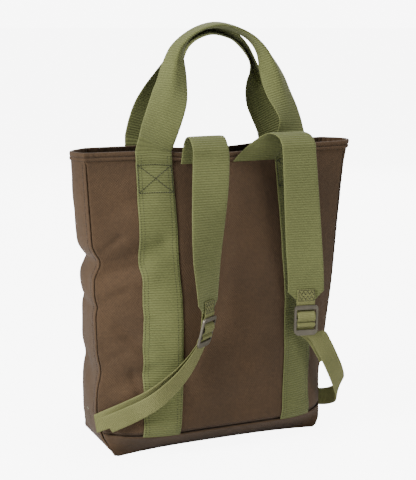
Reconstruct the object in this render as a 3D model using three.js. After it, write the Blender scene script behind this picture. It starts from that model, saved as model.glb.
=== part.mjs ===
// Convertible backpack: a soft open tote of canvas with two webbing handles and two shoulder straps.
// Millimetres, +Z up. The origin is the centre of the flat base, and -Y is the strap side.
import * as THREE from "three";

// Bag body
const rimHeight = 411;
const halfWidth = 192;
const depth = 150;
const canvasThickness = 1.8;
const seamGap = 0.3;
const bootHeight = 32;

// Rim binding, a folded strip over the top edge of the walls
const bindingHeight = 11.5;
const bindingThickness = 1.3;
const rimSag = 7;

// Handle webbing, sewn on both walls and carried over as two handles
const handleWidth = 50;
const handleThickness = 1.8;
const handleSpacing = 202;
const handleRise = 164;
const backHandleLean = 23;
const frontHandleLean = 1;
const frontHandleShift = 14;
const webbingLift = 1;
const sharpestFold = 82;

// Shoulder straps
const strapWidth = 51;
const strapThickness = 2;
const strapEndHeight = 204;
const strapSeamBelowRim = 19;
const strapCrestAboveRim = 18;
const strapTipSpare = 2;

// Tabs, buckles and adjusters
const adjusterWidth = 25;
const adjusterThickness = 1.5;
const tabLength = 22;
const buckleWidth = 36.5;
const buckleHeight = 42;
const buckleThickness = 2.6;
const buckleCornerRadius = 5;
const topBarHeight = 5.5;
const barHeight = 2.5;
const tabWindow = 12.5;
const threadWindow = 5.4;
const slotHeight = 6;
const buckleClearance = 1.2;
const threadClearance = 0.15;
const strapTaper = 12;
const tabShow = 7;
const strapSetBack = 3.4;

const bindingLift = webbingLift + bindingThickness + seamGap;

// Steps of the meshes: columns across each wall, rows up it, and steps along and across each webbing
const columnCount = { near: 20, far: 12, right: 5, left: 5 };
const columnCrowding = 0.75;
const rowCount = 15;
const handleSteps = { along: 40, across: 4 };
const strapSteps = { along: 44, across: 2 };
const tabSteps = { along: 44, across: 1 };
const adjusterSteps = { along: 84, across: 1 };

// Sections of the body from the floor to the rim. height is a share of rimHeight, left, right, farLeft and
// farRight are shares of halfWidth, and the other lengths are shares of depth, with y measured from the centre.
// near is the strap side. A wall stands out of its seams by its bulge, flatter as its power grows, and bow
// is how far the side walls stand out. A fold fades out at a seam, and the rim's sag below the rim.
const foldFadePower = 8;
const sagFadePower = 12;
const bodySections = [
  { height: 0.0, left: 0.8, right: 0.79, near: -0.5, nearBulge: -0.09, nearPower: 3,
    farLeft: 0.755, farRight: 0.79, far: 0.49, farBulge: -0.06, farPower: 3, bow: 0.0 },
  { height: 0.03, left: 0.855, right: 0.835, near: -0.465, nearBulge: 0.1, nearPower: 4.4,
    farLeft: 0.755, farRight: 0.82, far: 0.492, farBulge: 0.05, farPower: 4, bow: 0.02 },
  { height: 0.078, left: 0.9, right: 0.859, near: -0.413, nearBulge: 0.313, nearPower: 5.3,
    farLeft: 0.765, farRight: 0.85, far: 0.485, farBulge: 0.16, farPower: 5, bow: 0.04 },
  { height: 0.16, left: 0.94, right: 0.846, near: -0.45, nearBulge: 0.335, nearPower: 3.6,
    farLeft: 0.765, farRight: 0.87, far: 0.47, farBulge: 0.22, farPower: 3.6, bow: 0.05 },
  { height: 0.35, left: 0.945, right: 0.87, near: -0.493, nearBulge: 0.347, nearPower: 2.5,
    farLeft: 0.775, farRight: 0.9, far: 0.425, farBulge: 0.22, farPower: 2.6, bow: 0.05 },
  { height: 0.52, left: 0.955, right: 0.92, near: -0.493, nearBulge: 0.34, nearPower: 2.3,
    farLeft: 0.79, farRight: 0.93, far: 0.345, farBulge: 0.2, farPower: 2.4, bow: 0.06 },
  { height: 0.74, left: 0.975, right: 0.962, near: -0.493, nearBulge: 0.233, nearPower: 2.2,
    farLeft: 0.84, farRight: 0.96, far: 0.2, farBulge: 0.13, farPower: 2.3, bow: 0.09 },
  { height: 0.9, left: 0.995, right: 0.995, near: -0.493, nearBulge: 0.13, nearPower: 2.3,
    farLeft: 0.87, farRight: 0.985, far: 0.02, farBulge: 0.06, farPower: 2.4, bow: 0.12 },
  { height: 1.0, left: 1.005, right: 1.018, near: -0.493, nearBulge: 0.06, nearPower: 2.5,
    farLeft: 0.88, farRight: 1.0, far: -0.085, farBulge: -0.015, farPower: 2.5, bow: 0.13 },
];

// Places where a side seam is drawn in. height and reach are shares of rimHeight, depth a share of halfWidth.
const seamPinches = [
  { side: "left", height: 0.647, reach: 0.034, inward: 0.052 },
  { side: "left", height: 0.505, reach: 0.02, inward: 0.014 },
  { side: "left", height: 0.29, reach: 0.045, inward: 0.026 },
  { side: "right", height: 0.2, reach: 0.05, inward: 0.012 },
];

// Folds of the strap-side wall: straight valleys from one point to another. x is a share of halfWidth,
// height and width of rimHeight, and depth a share of the body's depth, with a minus for a ridge.
const wallFolds = [
  { x0: -0.93, height0: 0.62, x1: -0.5, height1: 0.7, width: 0.035, depth: 0.045 },
  { x0: -0.9, height0: 0.56, x1: -0.62, height1: 0.6, width: 0.025, depth: -0.02 },
  { x0: -0.85, height0: 0.24, x1: -0.6, height1: 0.3, width: 0.03, depth: 0.025 },
  { x0: -0.8, height0: 0.44, x1: -0.64, height1: 0.36, width: 0.025, depth: 0.02 },
  { x0: 0.98, height0: 0.14, x1: 0.82, height1: 0.3, width: 0.022, depth: 0.03 },
];

// Free run of each handle over the rim. along is a share of half the handle spacing, from left to right as seen
// from outside that wall, rise of handleRise, out of the handle's lean, turn is in degrees about Z, and fold is
// how far the webbing is folded in half, in degrees.
const handleArches = {
  near: [
    { along: -0.975, rise: 0.05, out: 0.09, turn: -2, fold: 0 },
    { along: -0.915, rise: 0.13, out: 0.24, turn: -10, fold: 0 },
    { along: -0.82, rise: 0.25, out: 0.44, turn: -18, fold: 3 },
    { along: -0.725, rise: 0.39, out: 0.62, turn: -21, fold: 12 },
    { along: -0.655, rise: 0.53, out: 0.8, turn: -21, fold: 34 },
    { along: -0.605, rise: 0.67, out: 0.91, turn: -20, fold: 50 },
    { along: -0.52, rise: 0.795, out: 0.98, turn: -16, fold: 65 },
    { along: -0.36, rise: 0.89, out: 1, turn: -8, fold: 78 },
    { along: -0.16, rise: 0.95, out: 1, turn: -2, fold: 81 },
    { along: 0.04, rise: 0.975, out: 1, turn: 0, fold: 81 },
    { along: 0.23, rise: 0.965, out: 1, turn: 0, fold: 81 },
    { along: 0.43, rise: 0.925, out: 1, turn: 0, fold: 81 },
    { along: 0.6, rise: 0.865, out: 0.98, turn: 0, fold: 80 },
    { along: 0.74, rise: 0.775, out: 0.93, turn: 2, fold: 73 },
    { along: 0.83, rise: 0.665, out: 0.84, turn: 6, fold: 56 },
    { along: 0.9, rise: 0.545, out: 0.73, turn: 12, fold: 38 },
    { along: 0.95, rise: 0.42, out: 0.58, turn: 20, fold: 22 },
    { along: 1.0, rise: 0.3, out: 0.4, turn: 26, fold: 8 },
    { along: 1.025, rise: 0.18, out: 0.22, turn: 24, fold: 0 },
    { along: 1.01, rise: 0.05, out: 0.07, turn: 6, fold: 0 },
  ],
  far: [
    { along: -1.0, rise: 0.05, out: 0.1, turn: 0, fold: 0 },
    { along: -0.965, rise: 0.13, out: 0.3, turn: 0, fold: 0 },
    { along: -0.885, rise: 0.235, out: 0.5, turn: 0, fold: 0 },
    { along: -0.805, rise: 0.34, out: 0.7, turn: -4, fold: 6 },
    { along: -0.75, rise: 0.44, out: 0.85, turn: -12, fold: 26 },
    { along: -0.71, rise: 0.525, out: 1, turn: -20, fold: 50 },
    { along: -0.68, rise: 0.6, out: 1, turn: -25, fold: 70 },
    { along: -0.61, rise: 0.69, out: 1, turn: -20, fold: 80 },
    { along: -0.477, rise: 0.785, out: 1, turn: -8, fold: 80 },
    { along: -0.33, rise: 0.86, out: 1, turn: 0, fold: 78 },
    { along: -0.16, rise: 0.91, out: 1, turn: 0, fold: 76 },
    { along: 0.03, rise: 0.932, out: 1, turn: 0, fold: 76 },
    { along: 0.2, rise: 0.915, out: 1, turn: 0, fold: 76 },
    { along: 0.37, rise: 0.865, out: 1, turn: 0, fold: 75 },
    { along: 0.5, rise: 0.79, out: 1, turn: 0, fold: 70 },
    { along: 0.6, rise: 0.68, out: 1, turn: 0, fold: 58 },
    { along: 0.69, rise: 0.55, out: 0.9, turn: 2, fold: 38 },
    { along: 0.79, rise: 0.42, out: 0.8, turn: 4, fold: 18 },
    { along: 0.89, rise: 0.29, out: 0.6, turn: 4, fold: 4 },
    { along: 0.96, rise: 0.16, out: 0.4, turn: 2, fold: 0 },
    { along: 1.0, rise: 0.05, out: 0.1, turn: 0, fold: 0 },
  ],
};

// Routes of the two shoulder straps from the seam under the rim over the crest to the buckle. x is a share of
// halfWidth, rise a share of strapCrestAboveRim above the rim (below the rim, drop is a share of the run down
// to the strap's end). out is a share of depth, in front of the seam under the rim and then of the strap-side
// corner seam, and spread widens the cut end.
const strapRoutes = {
  left: {
    buckleTilt: 15,
    over: [
      { x: -0.19, rise: -1.0, out: 0, spread: 1.1 },
      { x: -0.19, rise: -0.3, out: 0.02, spread: 1.08 },
      { x: -0.195, rise: 0.5, out: 0.055, spread: 1.04 },
      { x: -0.2, rise: 0.95, out: 0.11, spread: 1 },
      { x: -0.2, rise: 0.85, out: 0.18, spread: 1 },
      { x: -0.2, rise: 0.2, out: 0.24, spread: 1 },
    ],
    down: [
      { x: -0.2, drop: 0.06, out: 0.355, turn: -4 },
      { x: -0.222, drop: 0.25, out: 0.4, turn: -2 },
      { x: -0.25, drop: 0.47, out: 0.44, turn: 8 },
      { x: -0.27, drop: 0.7, out: 0.465, turn: 20 },
      { x: -0.268, drop: 0.88, out: 0.47, turn: 30 },
      { x: -0.266, drop: 1.0, out: 0.47, turn: 36 },
    ],
  },
  right: {
    buckleTilt: 4,
    over: [
      { x: 0.225, rise: -1.0, out: 0, spread: 1.22 },
      { x: 0.275, rise: -0.3, out: 0.035, spread: 1.2 },
      { x: 0.355, rise: 0.5, out: 0.065, spread: 1.12 },
      { x: 0.42, rise: 0.98, out: 0.11, spread: 1.03 },
      { x: 0.465, rise: 0.8, out: 0.18, spread: 1 },
      { x: 0.477, rise: 0.2, out: 0.24, spread: 1 },
    ],
    down: [
      { x: 0.48, drop: 0.06, out: 0.355, turn: 0 },
      { x: 0.484, drop: 0.25, out: 0.38, turn: -3 },
      { x: 0.49, drop: 0.47, out: 0.4, turn: -8 },
      { x: 0.498, drop: 0.7, out: 0.42, turn: -12 },
      { x: 0.512, drop: 0.88, out: 0.42, turn: -12 },
      { x: 0.515, drop: 1.0, out: 0.42, turn: -12 },
    ],
  },
};

// Routes of the adjusters from under the buckle to the side seam. x is a share of halfWidth, z of rimHeight,
// out a share of depth in front of the strap-side seam, and lean turns the webbing in its own plane.
const adjusterRoutes = {
  left: {
    load: [
      { x: -0.375, z: 0.332, out: 0.4, turn: 34, lean: 30 },
      { x: -0.48, z: 0.283, out: 0.4, turn: 26, lean: 44 },
      { x: -0.62, z: 0.226, out: 0.345, turn: 8, lean: 49 },
      { x: -0.745, z: 0.182, out: 0.235, turn: -16, lean: 50 },
      { x: -0.862, z: 0.146, out: 0.135, turn: -38, lean: 62 },
      { x: -0.912, z: 0.127, out: 0.06, turn: -44, lean: 80 },
    ],
    tail: [
      { x: -0.38, z: 0.325, out: 0.425, turn: 34, lean: 30 },
      { x: -0.485, z: 0.274, out: 0.43, turn: 26, lean: 45 },
      { x: -0.625, z: 0.215, out: 0.38, turn: 8, lean: 51 },
      { x: -0.75, z: 0.168, out: 0.27, turn: -12, lean: 53 },
      { x: -0.898, z: 0.117, out: 0.165, turn: -26, lean: 55 },
    ],
  },
  right: {
    load: [
      { x: 0.605, z: 0.375, out: 0.42, turn: -10, lean: -20 },
      { x: 0.67, z: 0.335, out: 0.405, turn: -8, lean: -32 },
      { x: 0.745, z: 0.282, out: 0.375, turn: -5, lean: -34 },
      { x: 0.833, z: 0.219, out: 0.32, turn: 0, lean: -34 },
      { x: 0.9, z: 0.168, out: 0.245, turn: 14, lean: -40 },
      { x: 0.943, z: 0.123, out: 0.13, turn: 55, lean: -62 },
      { x: 0.93, z: 0.097, out: 0.01, turn: 115, lean: -84 },
      { x: 0.876, z: 0.09, out: -0.07, turn: 130, lean: -90 },
    ],
    tail: [
      { x: 0.605, z: 0.365, out: 0.385, turn: -10, lean: -22 },
      { x: 0.67, z: 0.325, out: 0.375, turn: -8, lean: -32 },
      { x: 0.73, z: 0.285, out: 0.35, turn: -6, lean: -34 },
    ],
  },
};

const radians = (degrees) => (degrees * Math.PI) / 180;
const at = (x, y, z) => new THREE.Vector3(x, y, z);

// Value of one column of a table at a place between its rows, on a smooth curve through them.
function smoothColumn(rows, key, column, place) {
  let i = 0;
  while (i < rows.length - 2 && place > rows[i + 1][key]) i += 1;
  const slope = (k) => {
    const a = rows[Math.max(k - 1, 0)];
    const b = rows[Math.min(k + 1, rows.length - 1)];
    return (b[column] - a[column]) / (b[key] - a[key]);
  };
  const from = rows[i];
  const to = rows[i + 1];
  const span = to[key] - from[key];
  const t = (place - from[key]) / span;
  const rise = to[column] - from[column];
  const startSlope = slope(i) * span;
  const endSlope = slope(i + 1) * span;
  return from[column] + t * (startSlope + t * (3 * rise - 2 * startSlope - endSlope +
    t * (startSlope + endSlope - 2 * rise)));
}

// The body's section at a height share, in millimetres.
function sectionAt(share) {
  const read = (column) => smoothColumn(bodySections, "height", column, share);
  const pinch = (side) => seamPinches
    .filter((row) => row.side === side)
    .reduce((sum, row) => sum + row.inward * Math.exp(-(((share - row.height) / row.reach) ** 2)), 0);
  return {
    left: -(read("left") - pinch("left")) * halfWidth,
    right: (read("right") - pinch("right")) * halfWidth,
    near: read("near") * depth,
    nearBulge: read("nearBulge") * depth,
    nearPower: read("nearPower"),
    farLeft: -(read("farLeft") - pinch("left")) * halfWidth,
    farRight: (read("farRight") - pinch("right")) * halfWidth,
    far: read("far") * depth,
    farBulge: read("farBulge") * depth,
    farPower: read("farPower"),
    bow: read("bow") * depth,
  };
}

// Depth of the folds at a point of the strap-side wall.
function foldDepth(x, z) {
  let sum = 0;
  for (const fold of wallFolds) {
    const ax = fold.x0 * halfWidth;
    const az = fold.height0 * rimHeight;
    const dx = fold.x1 * halfWidth - ax;
    const dz = fold.height1 * rimHeight - az;
    const t = ((x - ax) * dx + (z - az) * dz) / (dx * dx + dz * dz);
    const inside = THREE.MathUtils.clamp(t, 0, 1);
    const away = Math.hypot(x - ax - inside * dx, z - az - inside * dz) / (fold.width * rimHeight);
    sum += fold.depth * depth * Math.exp(-away * away);
  }
  return sum;
}

const sideOrder = ["near", "right", "far", "left"];

// The rim hangs down a little between the handles, on both walls.
function sagAt(side, s) {
  const x = Math.abs(s) * halfWidth;
  const inside = Math.max(0, 1 - (x / (handleSpacing / 2)) ** 2);
  return side === "near" || side === "far" ? rimSag * inside : 0;
}

// A point of the body's outside. side is near, right, far or left, s runs from -1 to 1 round the section
// in that order, and share is the height.
function bodyPoint(side, s, share) {
  const cut = sectionAt(share);
  const t = (s + 1) / 2;
  const z = share * rimHeight - sagAt(side, s) * Math.min(share / bindingShare, 1) ** sagFadePower;
  const edge = 1 - s ** foldFadePower;
  if (side === "near") {
    const x = THREE.MathUtils.lerp(cut.left, cut.right, t);
    const y = cut.near - cut.nearBulge * (1 - Math.abs(s) ** cut.nearPower);
    return at(x, y + foldDepth(x, z) * edge, z);
  }
  if (side === "far") {
    const x = THREE.MathUtils.lerp(cut.farRight, cut.farLeft, t);
    return at(x, cut.far + cut.farBulge * (1 - Math.abs(s) ** cut.farPower), z);
  }
  const bow = cut.bow * Math.sin(Math.PI * t);
  if (side === "right") {
    const x = THREE.MathUtils.lerp(cut.right, cut.farRight, t) + bow;
    return at(x, THREE.MathUtils.lerp(cut.near, cut.far, t), z);
  }
  const x = THREE.MathUtils.lerp(cut.farLeft, cut.left, t) - bow;
  return at(x, THREE.MathUtils.lerp(cut.far, cut.near, t), z);
}

// The same point, but on a straight line through the height of the binding, so that the binding fits.
function wallPoint(side, s, share) {
  if (share <= bindingShare) return bodyPoint(side, s, share);
  const t = (share - bindingShare) / (1 - bindingShare);
  return bodyPoint(side, s, bindingShare).lerp(bodyPoint(side, s, 1), t);
}

// Outward normal of one wall, taken from inside that wall.
function wallNormal(side, s, share) {
  const stepS = 0.02;
  const stepUp = 0.004;
  const a = THREE.MathUtils.clamp(s, -1 + stepS, 1 - stepS);
  const b = THREE.MathUtils.clamp(share, stepUp, 1 - stepUp);
  const across = bodyPoint(side, a + stepS, b).sub(bodyPoint(side, a - stepS, b));
  const up = bodyPoint(side, a, b + stepUp).sub(bodyPoint(side, a, b - stepUp));
  return across.cross(up).normalize();
}

// Offset direction of the wall's skin: at a corner seam it is the mitre of both walls.
function skinDirection(side, s, share) {
  const own = wallNormal(side, s, share);
  if (Math.abs(s) < 1) return own;
  const turn = s > 0 ? 1 : 3;
  const next = sideOrder[(sideOrder.indexOf(side) + turn) % 4];
  const other = wallNormal(next, -s, share);
  return own.clone().add(other).divideScalar(1 + own.dot(other));
}

// A closed sheet between two grids of points with the same rows and columns.
function closedSheet(front, back) {
  const rows = front.length;
  const columns = front[0].length;
  const position = [];
  for (const grid of [front, back]) {
    for (const row of grid) {
      for (const point of row) position.push(point.x, point.y, point.z);
    }
  }
  const f = (i, j) => i * columns + j;
  const b = (i, j) => rows * columns + i * columns + j;
  const index = [];
  const quad = (p, q, r, s) => index.push(p, q, r, p, r, s);
  for (let i = 0; i < rows - 1; i += 1) {
    for (let j = 0; j < columns - 1; j += 1) {
      quad(f(i, j), f(i, j + 1), f(i + 1, j + 1), f(i + 1, j));
      quad(b(i, j), b(i + 1, j), b(i + 1, j + 1), b(i, j + 1));
    }
    quad(f(i, 0), f(i + 1, 0), b(i + 1, 0), b(i, 0));
    quad(f(i, columns - 1), b(i, columns - 1), b(i + 1, columns - 1), f(i + 1, columns - 1));
  }
  for (let j = 0; j < columns - 1; j += 1) {
    quad(f(0, j), b(0, j), b(0, j + 1), f(0, j + 1));
    quad(f(rows - 1, j), f(rows - 1, j + 1), b(rows - 1, j + 1), b(rows - 1, j));
  }
  return faceOutward(position, index);
}

// Makes the geometry and turns its faces out if its volume comes out negative.
function faceOutward(position, index) {
  const corner = (k) => at(position[3 * k], position[3 * k + 1], position[3 * k + 2]);
  let volume = 0;
  for (let k = 0; k < index.length; k += 3) {
    volume += corner(index[k]).dot(corner(index[k + 1]).cross(corner(index[k + 2])));
  }
  if (volume < 0) {
    for (let k = 0; k < index.length; k += 3) {
      [index[k + 1], index[k + 2]] = [index[k + 2], index[k + 1]];
    }
  }
  const geometry = new THREE.BufferGeometry();
  geometry.setAttribute("position", new THREE.Float32BufferAttribute(position, 3));
  geometry.setIndex(index);
  geometry.computeVertexNormals();
  return geometry;
}

// Columns of a wall, closer together towards its corner seams.
function wallColumns(side) {
  const count = columnCount[side];
  return Array.from({ length: count + 1 }, (_, k) => {
    const even = -1 + (2 * k) / count;
    return THREE.MathUtils.lerp(even, Math.sin((even * Math.PI) / 2), columnCrowding);
  });
}

const columnsOf = Object.fromEntries(sideOrder.map((side) => [side, wallColumns(side)]));

const bootShare = bootHeight / rimHeight;
const bindingShare = 1 - bindingHeight / rimHeight;
const wallTopShare = 1 - (bindingThickness + seamGap) / rimHeight;
const floorClearShare = (canvasThickness + seamGap) / rimHeight;

// Row heights of a wall from a start to under the binding, and then to its top edge.
function wallRows(start) {
  const rows = Array.from({ length: rowCount + 1 }, (_, k) =>
    THREE.MathUtils.lerp(start, bindingShare, k / rowCount));
  return [...rows, wallTopShare];
}

// Offset direction level with the floor, which the binding and the wall inside it share.
const rimDirection = (side, s) => skinDirection(side, s, (1 + bindingShare) / 2).setZ(0);

// A wall's point, moved off the corner seam by the gap, towards the wall's own middle.
function wallSkin(side, s, share) {
  const point = wallPoint(side, s, share);
  const stepIn = 0.03;
  if (Math.abs(s) === 1) {
    const inward = wallPoint(side, s * (1 - stepIn), share).sub(point).normalize();
    point.addScaledVector(inward, seamGap);
  }
  const direction = share < bindingShare ? skinDirection(side, s, share) : rimDirection(side, s);
  return { point, direction };
}

// A point on the wall's flat facets, between two of its columns.
function facetPoint(side, s, share) {
  const columns = columnsOf[side];
  let k = 0;
  while (k < columns.length - 2 && s > columns[k + 1]) k += 1;
  const t = (s - columns[k]) / (columns[k + 1] - columns[k]);
  return wallPoint(side, columns[k], share).lerp(wallPoint(side, columns[k + 1], share), t);
}

function wallGeometry(side, rows) {
  const skin = rows.map((share) => columnsOf[side].map((s) => wallSkin(side, s, share)));
  const front = skin.map((row) => row.map(({ point }) => point));
  const back = skin.map((row) => row.map(({ point, direction }) =>
    point.clone().addScaledVector(direction, -canvasThickness)));
  return closedSheet(front, back);
}

const seamShare = seamGap / rimHeight;
const tallRows = wallRows(bootShare + seamShare);
const flapRows = [0.15, 0.4, 0.7].map((part) => part * bootShare).concat(bootShare - seamShare);
const sideRows = [floorClearShare, ...flapRows, ...tallRows];

// The boot is one sheet: the floor and a turned-up flap under each wide wall.
function bootGeometry() {
  const floorSteps = [0.04, 0.35, 0.65, 0.96];
  const columns = columnsOf.near;
  const across = (side, s) => (side === "near" ? s : -s);
  const flapRow = (side, share) => columns.map((s) => {
    const skin = wallSkin(side, across(side, s), share);
    return { outer: skin.point, inner: skin.point.clone().addScaledVector(skin.direction, -canvasThickness) };
  });
  const foldRow = (side) => columns.map((s) => {
    const skin = wallSkin(side, across(side, s), 0);
    const flat = skin.direction.clone().setZ(0).normalize();
    const inner = skin.point.clone().addScaledVector(flat, -canvasThickness);
    return { outer: skin.point, inner: inner.setZ(canvasThickness) };
  });
  const nearFold = foldRow("near");
  const farFold = foldRow("far");
  const floorRow = (step) => columns.map((_, k) => {
    const outer = nearFold[k].outer.clone().lerp(farFold[k].outer, step);
    return { outer, inner: outer.clone().setZ(canvasThickness) };
  });
  const rows = [
    ...flapRows.toReversed().map((share) => flapRow("near", share)),
    nearFold,
    ...floorSteps.map(floorRow),
    farFold,
    ...flapRows.map((share) => flapRow("far", share)),
  ];
  const outside = rows.map((row) => row.map(({ outer }) => outer));
  const inside = rows.map((row) => row.map(({ inner }) => inner));
  return closedSheet(outside, inside);
}

// The binding is a ring of U section that rides over the top edges of the walls.
function bindingGeometry() {
  const stations = sideOrder.flatMap((side) => columnsOf[side].slice(0, -1).map((s) => ({ side, s })));
  const outerFace = seamGap + bindingThickness;
  const innerFace = -canvasThickness - seamGap - bindingThickness;
  const foldShare = 1 - bindingThickness / rimHeight;
  const profile = [
    { share: bindingShare, offset: outerFace },
    { share: 1, offset: outerFace },
    { share: 1, offset: innerFace },
    { share: bindingShare, offset: innerFace },
    { share: bindingShare, offset: innerFace + bindingThickness },
    { share: foldShare, offset: innerFace + bindingThickness },
    { share: foldShare, offset: seamGap },
    { share: bindingShare, offset: seamGap },
  ];
  const position = [];
  for (const { side, s } of stations) {
    const direction = rimDirection(side, s);
    for (const { share, offset } of profile) {
      const point = wallPoint(side, s, share).addScaledVector(direction, offset);
      position.push(point.x, point.y, point.z);
    }
  }
  const index = [];
  const size = profile.length;
  for (let i = 0; i < stations.length; i += 1) {
    const next = (i + 1) % stations.length;
    for (let k = 0; k < size; k += 1) {
      const up = (k + 1) % size;
      const corners = [i * size + k, next * size + k, next * size + up, i * size + up];
      const [a, b, c, d] = profile[up].share < profile[k].share ? [...corners.slice(1), corners[0]] : corners;
      index.push(a, b, c, a, c, d);
    }
  }
  return faceOutward(position, index);
}

// Rows of points across a ribbon of webbing, one row for each step of its route. Each key of the route
// gives the middle, the half width as a vector, and the fold in degrees.
function ribbonRows(keys, { along: steps, across }) {
  const middle = new THREE.CatmullRomCurve3(keys.map(({ middle: point }) => point));
  middle.curveType = "catmullrom";
  const reach = new THREE.CatmullRomCurve3(keys.map(({ reach: vector }) => vector));
  reach.curveType = "catmullrom";
  const folds = keys.map(({ fold }, k) => ({ place: k, fold: fold ?? 0 }));
  return Array.from({ length: steps + 1 }, (_, i) => {
    const t = i / steps;
    const centre = middle.getPoint(t);
    const tangent = middle.getTangent(t);
    const half = reach.getPoint(t);
    const width = half.length();
    const side = half.clone().normalize();
    const normal = side.clone().cross(tangent).normalize();
    const folded = smoothColumn(folds, "place", "fold", t * (keys.length - 1));
    const fold = radians(THREE.MathUtils.clamp(folded, 0, sharpestFold));
    return Array.from({ length: across + 1 }, (_unused, j) => {
      const s = -1 + (2 * j) / across;
      const flank = Math.sign(s);
      const point = centre.clone()
        .addScaledVector(side, s * width * Math.cos(fold))
        .addScaledVector(normal, -Math.abs(s) * width * Math.sin(fold));
      const direction = normal.clone().multiplyScalar(flank === 0 ? 1 : Math.cos(fold))
        .addScaledVector(side, flank * Math.sin(fold));
      return { point, direction };
    });
  });
}

// A closed ribbon from rows of points with their normals.
function ribbonGeometry(rows, thickness) {
  const shift = (amount) => rows.map((row) => row.map(({ point, direction }) =>
    point.clone().addScaledVector(direction, amount)));
  return closedSheet(shift(thickness / 2), shift(-thickness / 2));
}

// A row of webbing points on a wall, its middle at x, standing off the wall by a lift.
function webbingRowOnWall(side, x, share, lift) {
  const { across } = handleSteps;
  const cut = sectionAt(share);
  const lowX = side === "near" ? cut.left : cut.farLeft;
  const highX = side === "near" ? cut.right : cut.farRight;
  const sign = side === "near" ? 1 : -1;
  return Array.from({ length: across + 1 }, (_, j) => {
    const step = -1 + (2 * j) / across;
    const place = x + sign * step * (handleWidth / 2);
    const s = sign * ((2 * (place - lowX)) / (highX - lowX) - 1);
    const direction = share < bindingShare ? wallNormal(side, s, share) : rimDirection(side, s);
    const point = facetPoint(side, s, share).addScaledVector(direction, lift + handleThickness / 2);
    return { point, direction };
  });
}

// One handle with the webbing that carries it: up one side of a wall, over, and down the other side.
function handleGeometry(side) {
  const sign = side === "near" ? 1 : -1;
  const shift = side === "near" ? 0 : frontHandleShift;
  const lean = side === "near" ? backHandleLean : frontHandleLean;
  const half = handleSpacing / 2;
  const wall = (x) => tallRows.slice(0, -2).map((share) => webbingRowOnWall(side, x, share, webbingLift));
  const start = shift - sign * half;
  const end = shift + sign * half;
  const rimRow = (x) => webbingRowOnWall(side, x, bindingShare - webbingLift / rimHeight, bindingLift);
  const lipRow = (x) => webbingRowOnWall(side, x, 1, bindingLift);
  const edges = [-half - handleWidth / 2, -half + handleWidth / 2];
  const wallReach = edges.map((x) => -sign * wallPoint(side, x / halfWidth, 1).y);
  const base = -sign * (Math.max(...wallReach) + bindingLift + handleThickness);
  const middles = handleArches[side].map(({ along, rise, out }) =>
    at(shift + sign * along * half, base + sign * out * lean, rimHeight + rise * handleRise));
  const arch = new THREE.CatmullRomCurve3(middles);
  arch.curveType = "catmullrom";
  const keys = handleArches[side].map((row, k) => {
    const angle = radians(row.turn);
    const facing = at(sign * Math.sin(angle), -sign * Math.cos(angle), 0);
    const reach = arch.getTangent(k / (middles.length - 1)).cross(facing).setLength(handleWidth / 2);
    return { middle: middles[k], reach, fold: row.fold };
  });
  const free = ribbonRows(keys, handleSteps);
  const downRows = [lipRow(end), rimRow(end), ...wall(end).toReversed()].map((row) => row.toReversed());
  return ribbonGeometry([...wall(start), rimRow(start), lipRow(start), ...free, ...downRows], handleThickness);
}

// A key of a free ribbon: its middle and half width. turn is in degrees about Z, and lean turns the
// webbing in its own plane.
function webbingKey(middle, width, turn, lean) {
  const level = Math.cos(radians(lean));
  const reach = at(Math.cos(radians(turn)) * level, Math.sin(radians(turn)) * level, -Math.sin(radians(lean)));
  return { middle, reach: reach.multiplyScalar(width / 2) };
}

// A point given by its share of the half width, its height and how far it is in front of the strap-side seam.
const inFront = (x, z, out) => at(x * halfWidth, sectionAt(Math.min(z / rimHeight, 1)).near - out * depth, z);

// A shoulder strap from the seam under the rim, over the crest and down to its tapered end.
function strapKeys(side) {
  const route = strapRoutes[side];
  const wallY = facetPoint("near", 0, bindingShare).y - bindingLift - strapThickness / 2;
  const over = route.over.map(({ x, rise, out, spread }) => {
    const reachDown = rise < 0 ? strapSeamBelowRim : strapCrestAboveRim;
    const middle = at(x * halfWidth, wallY - out * depth, rimHeight + rise * reachDown);
    return webbingKey(middle, strapWidth * spread, 0, 0);
  });
  const run = rimHeight - strapEndHeight - strapTaper;
  const down = route.down.map(({ x, drop, out, turn }) =>
    webbingKey(inFront(x, rimHeight - drop * run, out), strapWidth, turn, 0));
  return [...over, ...down];
}

function strapGeometry(side) {
  const rows = ribbonRows(strapKeys(side), strapSteps);
  const last = strapRoutes[side].down.at(-1);
  const tip = inFront(last.x, strapEndHeight, 0).setY(strapKeys(side).at(-1).middle.y);
  const end = webbingKey(tip, adjusterWidth + strapTipSpare, last.turn, 0);
  const normal = rows.at(-1)[0].direction;
  const tipRow = [-1, 0, 1].map((s) => ({
    point: end.middle.clone().addScaledVector(end.reach, s),
    direction: normal,
  }));
  return ribbonGeometry([...rows, tipRow], strapThickness);
}

// Where a buckle hangs: the middle of its top edge and its turn about Z. Its axes are X across, Y back, Z up.
function bucklePlace(side) {
  const last = strapRoutes[side].down.at(-1);
  const turn = radians(last.turn);
  const tilt = radians(strapRoutes[side].buckleTilt);
  const strapEnd = strapKeys(side).at(-1).middle;
  const back = at(-Math.sin(turn), Math.cos(turn), 0);
  const origin = strapEnd.clone().addScaledVector(back, -strapSetBack);
  return { origin: origin.setZ(strapEndHeight - tabShow), turn, tilt };
}

// A point of the buckle's own frame, where what is above its top edge hangs straight and the rest is tilted.
function fromBuckle(side, y, z) {
  const { origin, turn, tilt } = bucklePlace(side);
  const point = at(0, y, z);
  if (z < 0) point.applyAxisAngle(at(1, 0, 0), tilt);
  return point.applyAxisAngle(at(0, 0, 1), turn).add(origin);
}

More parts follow.
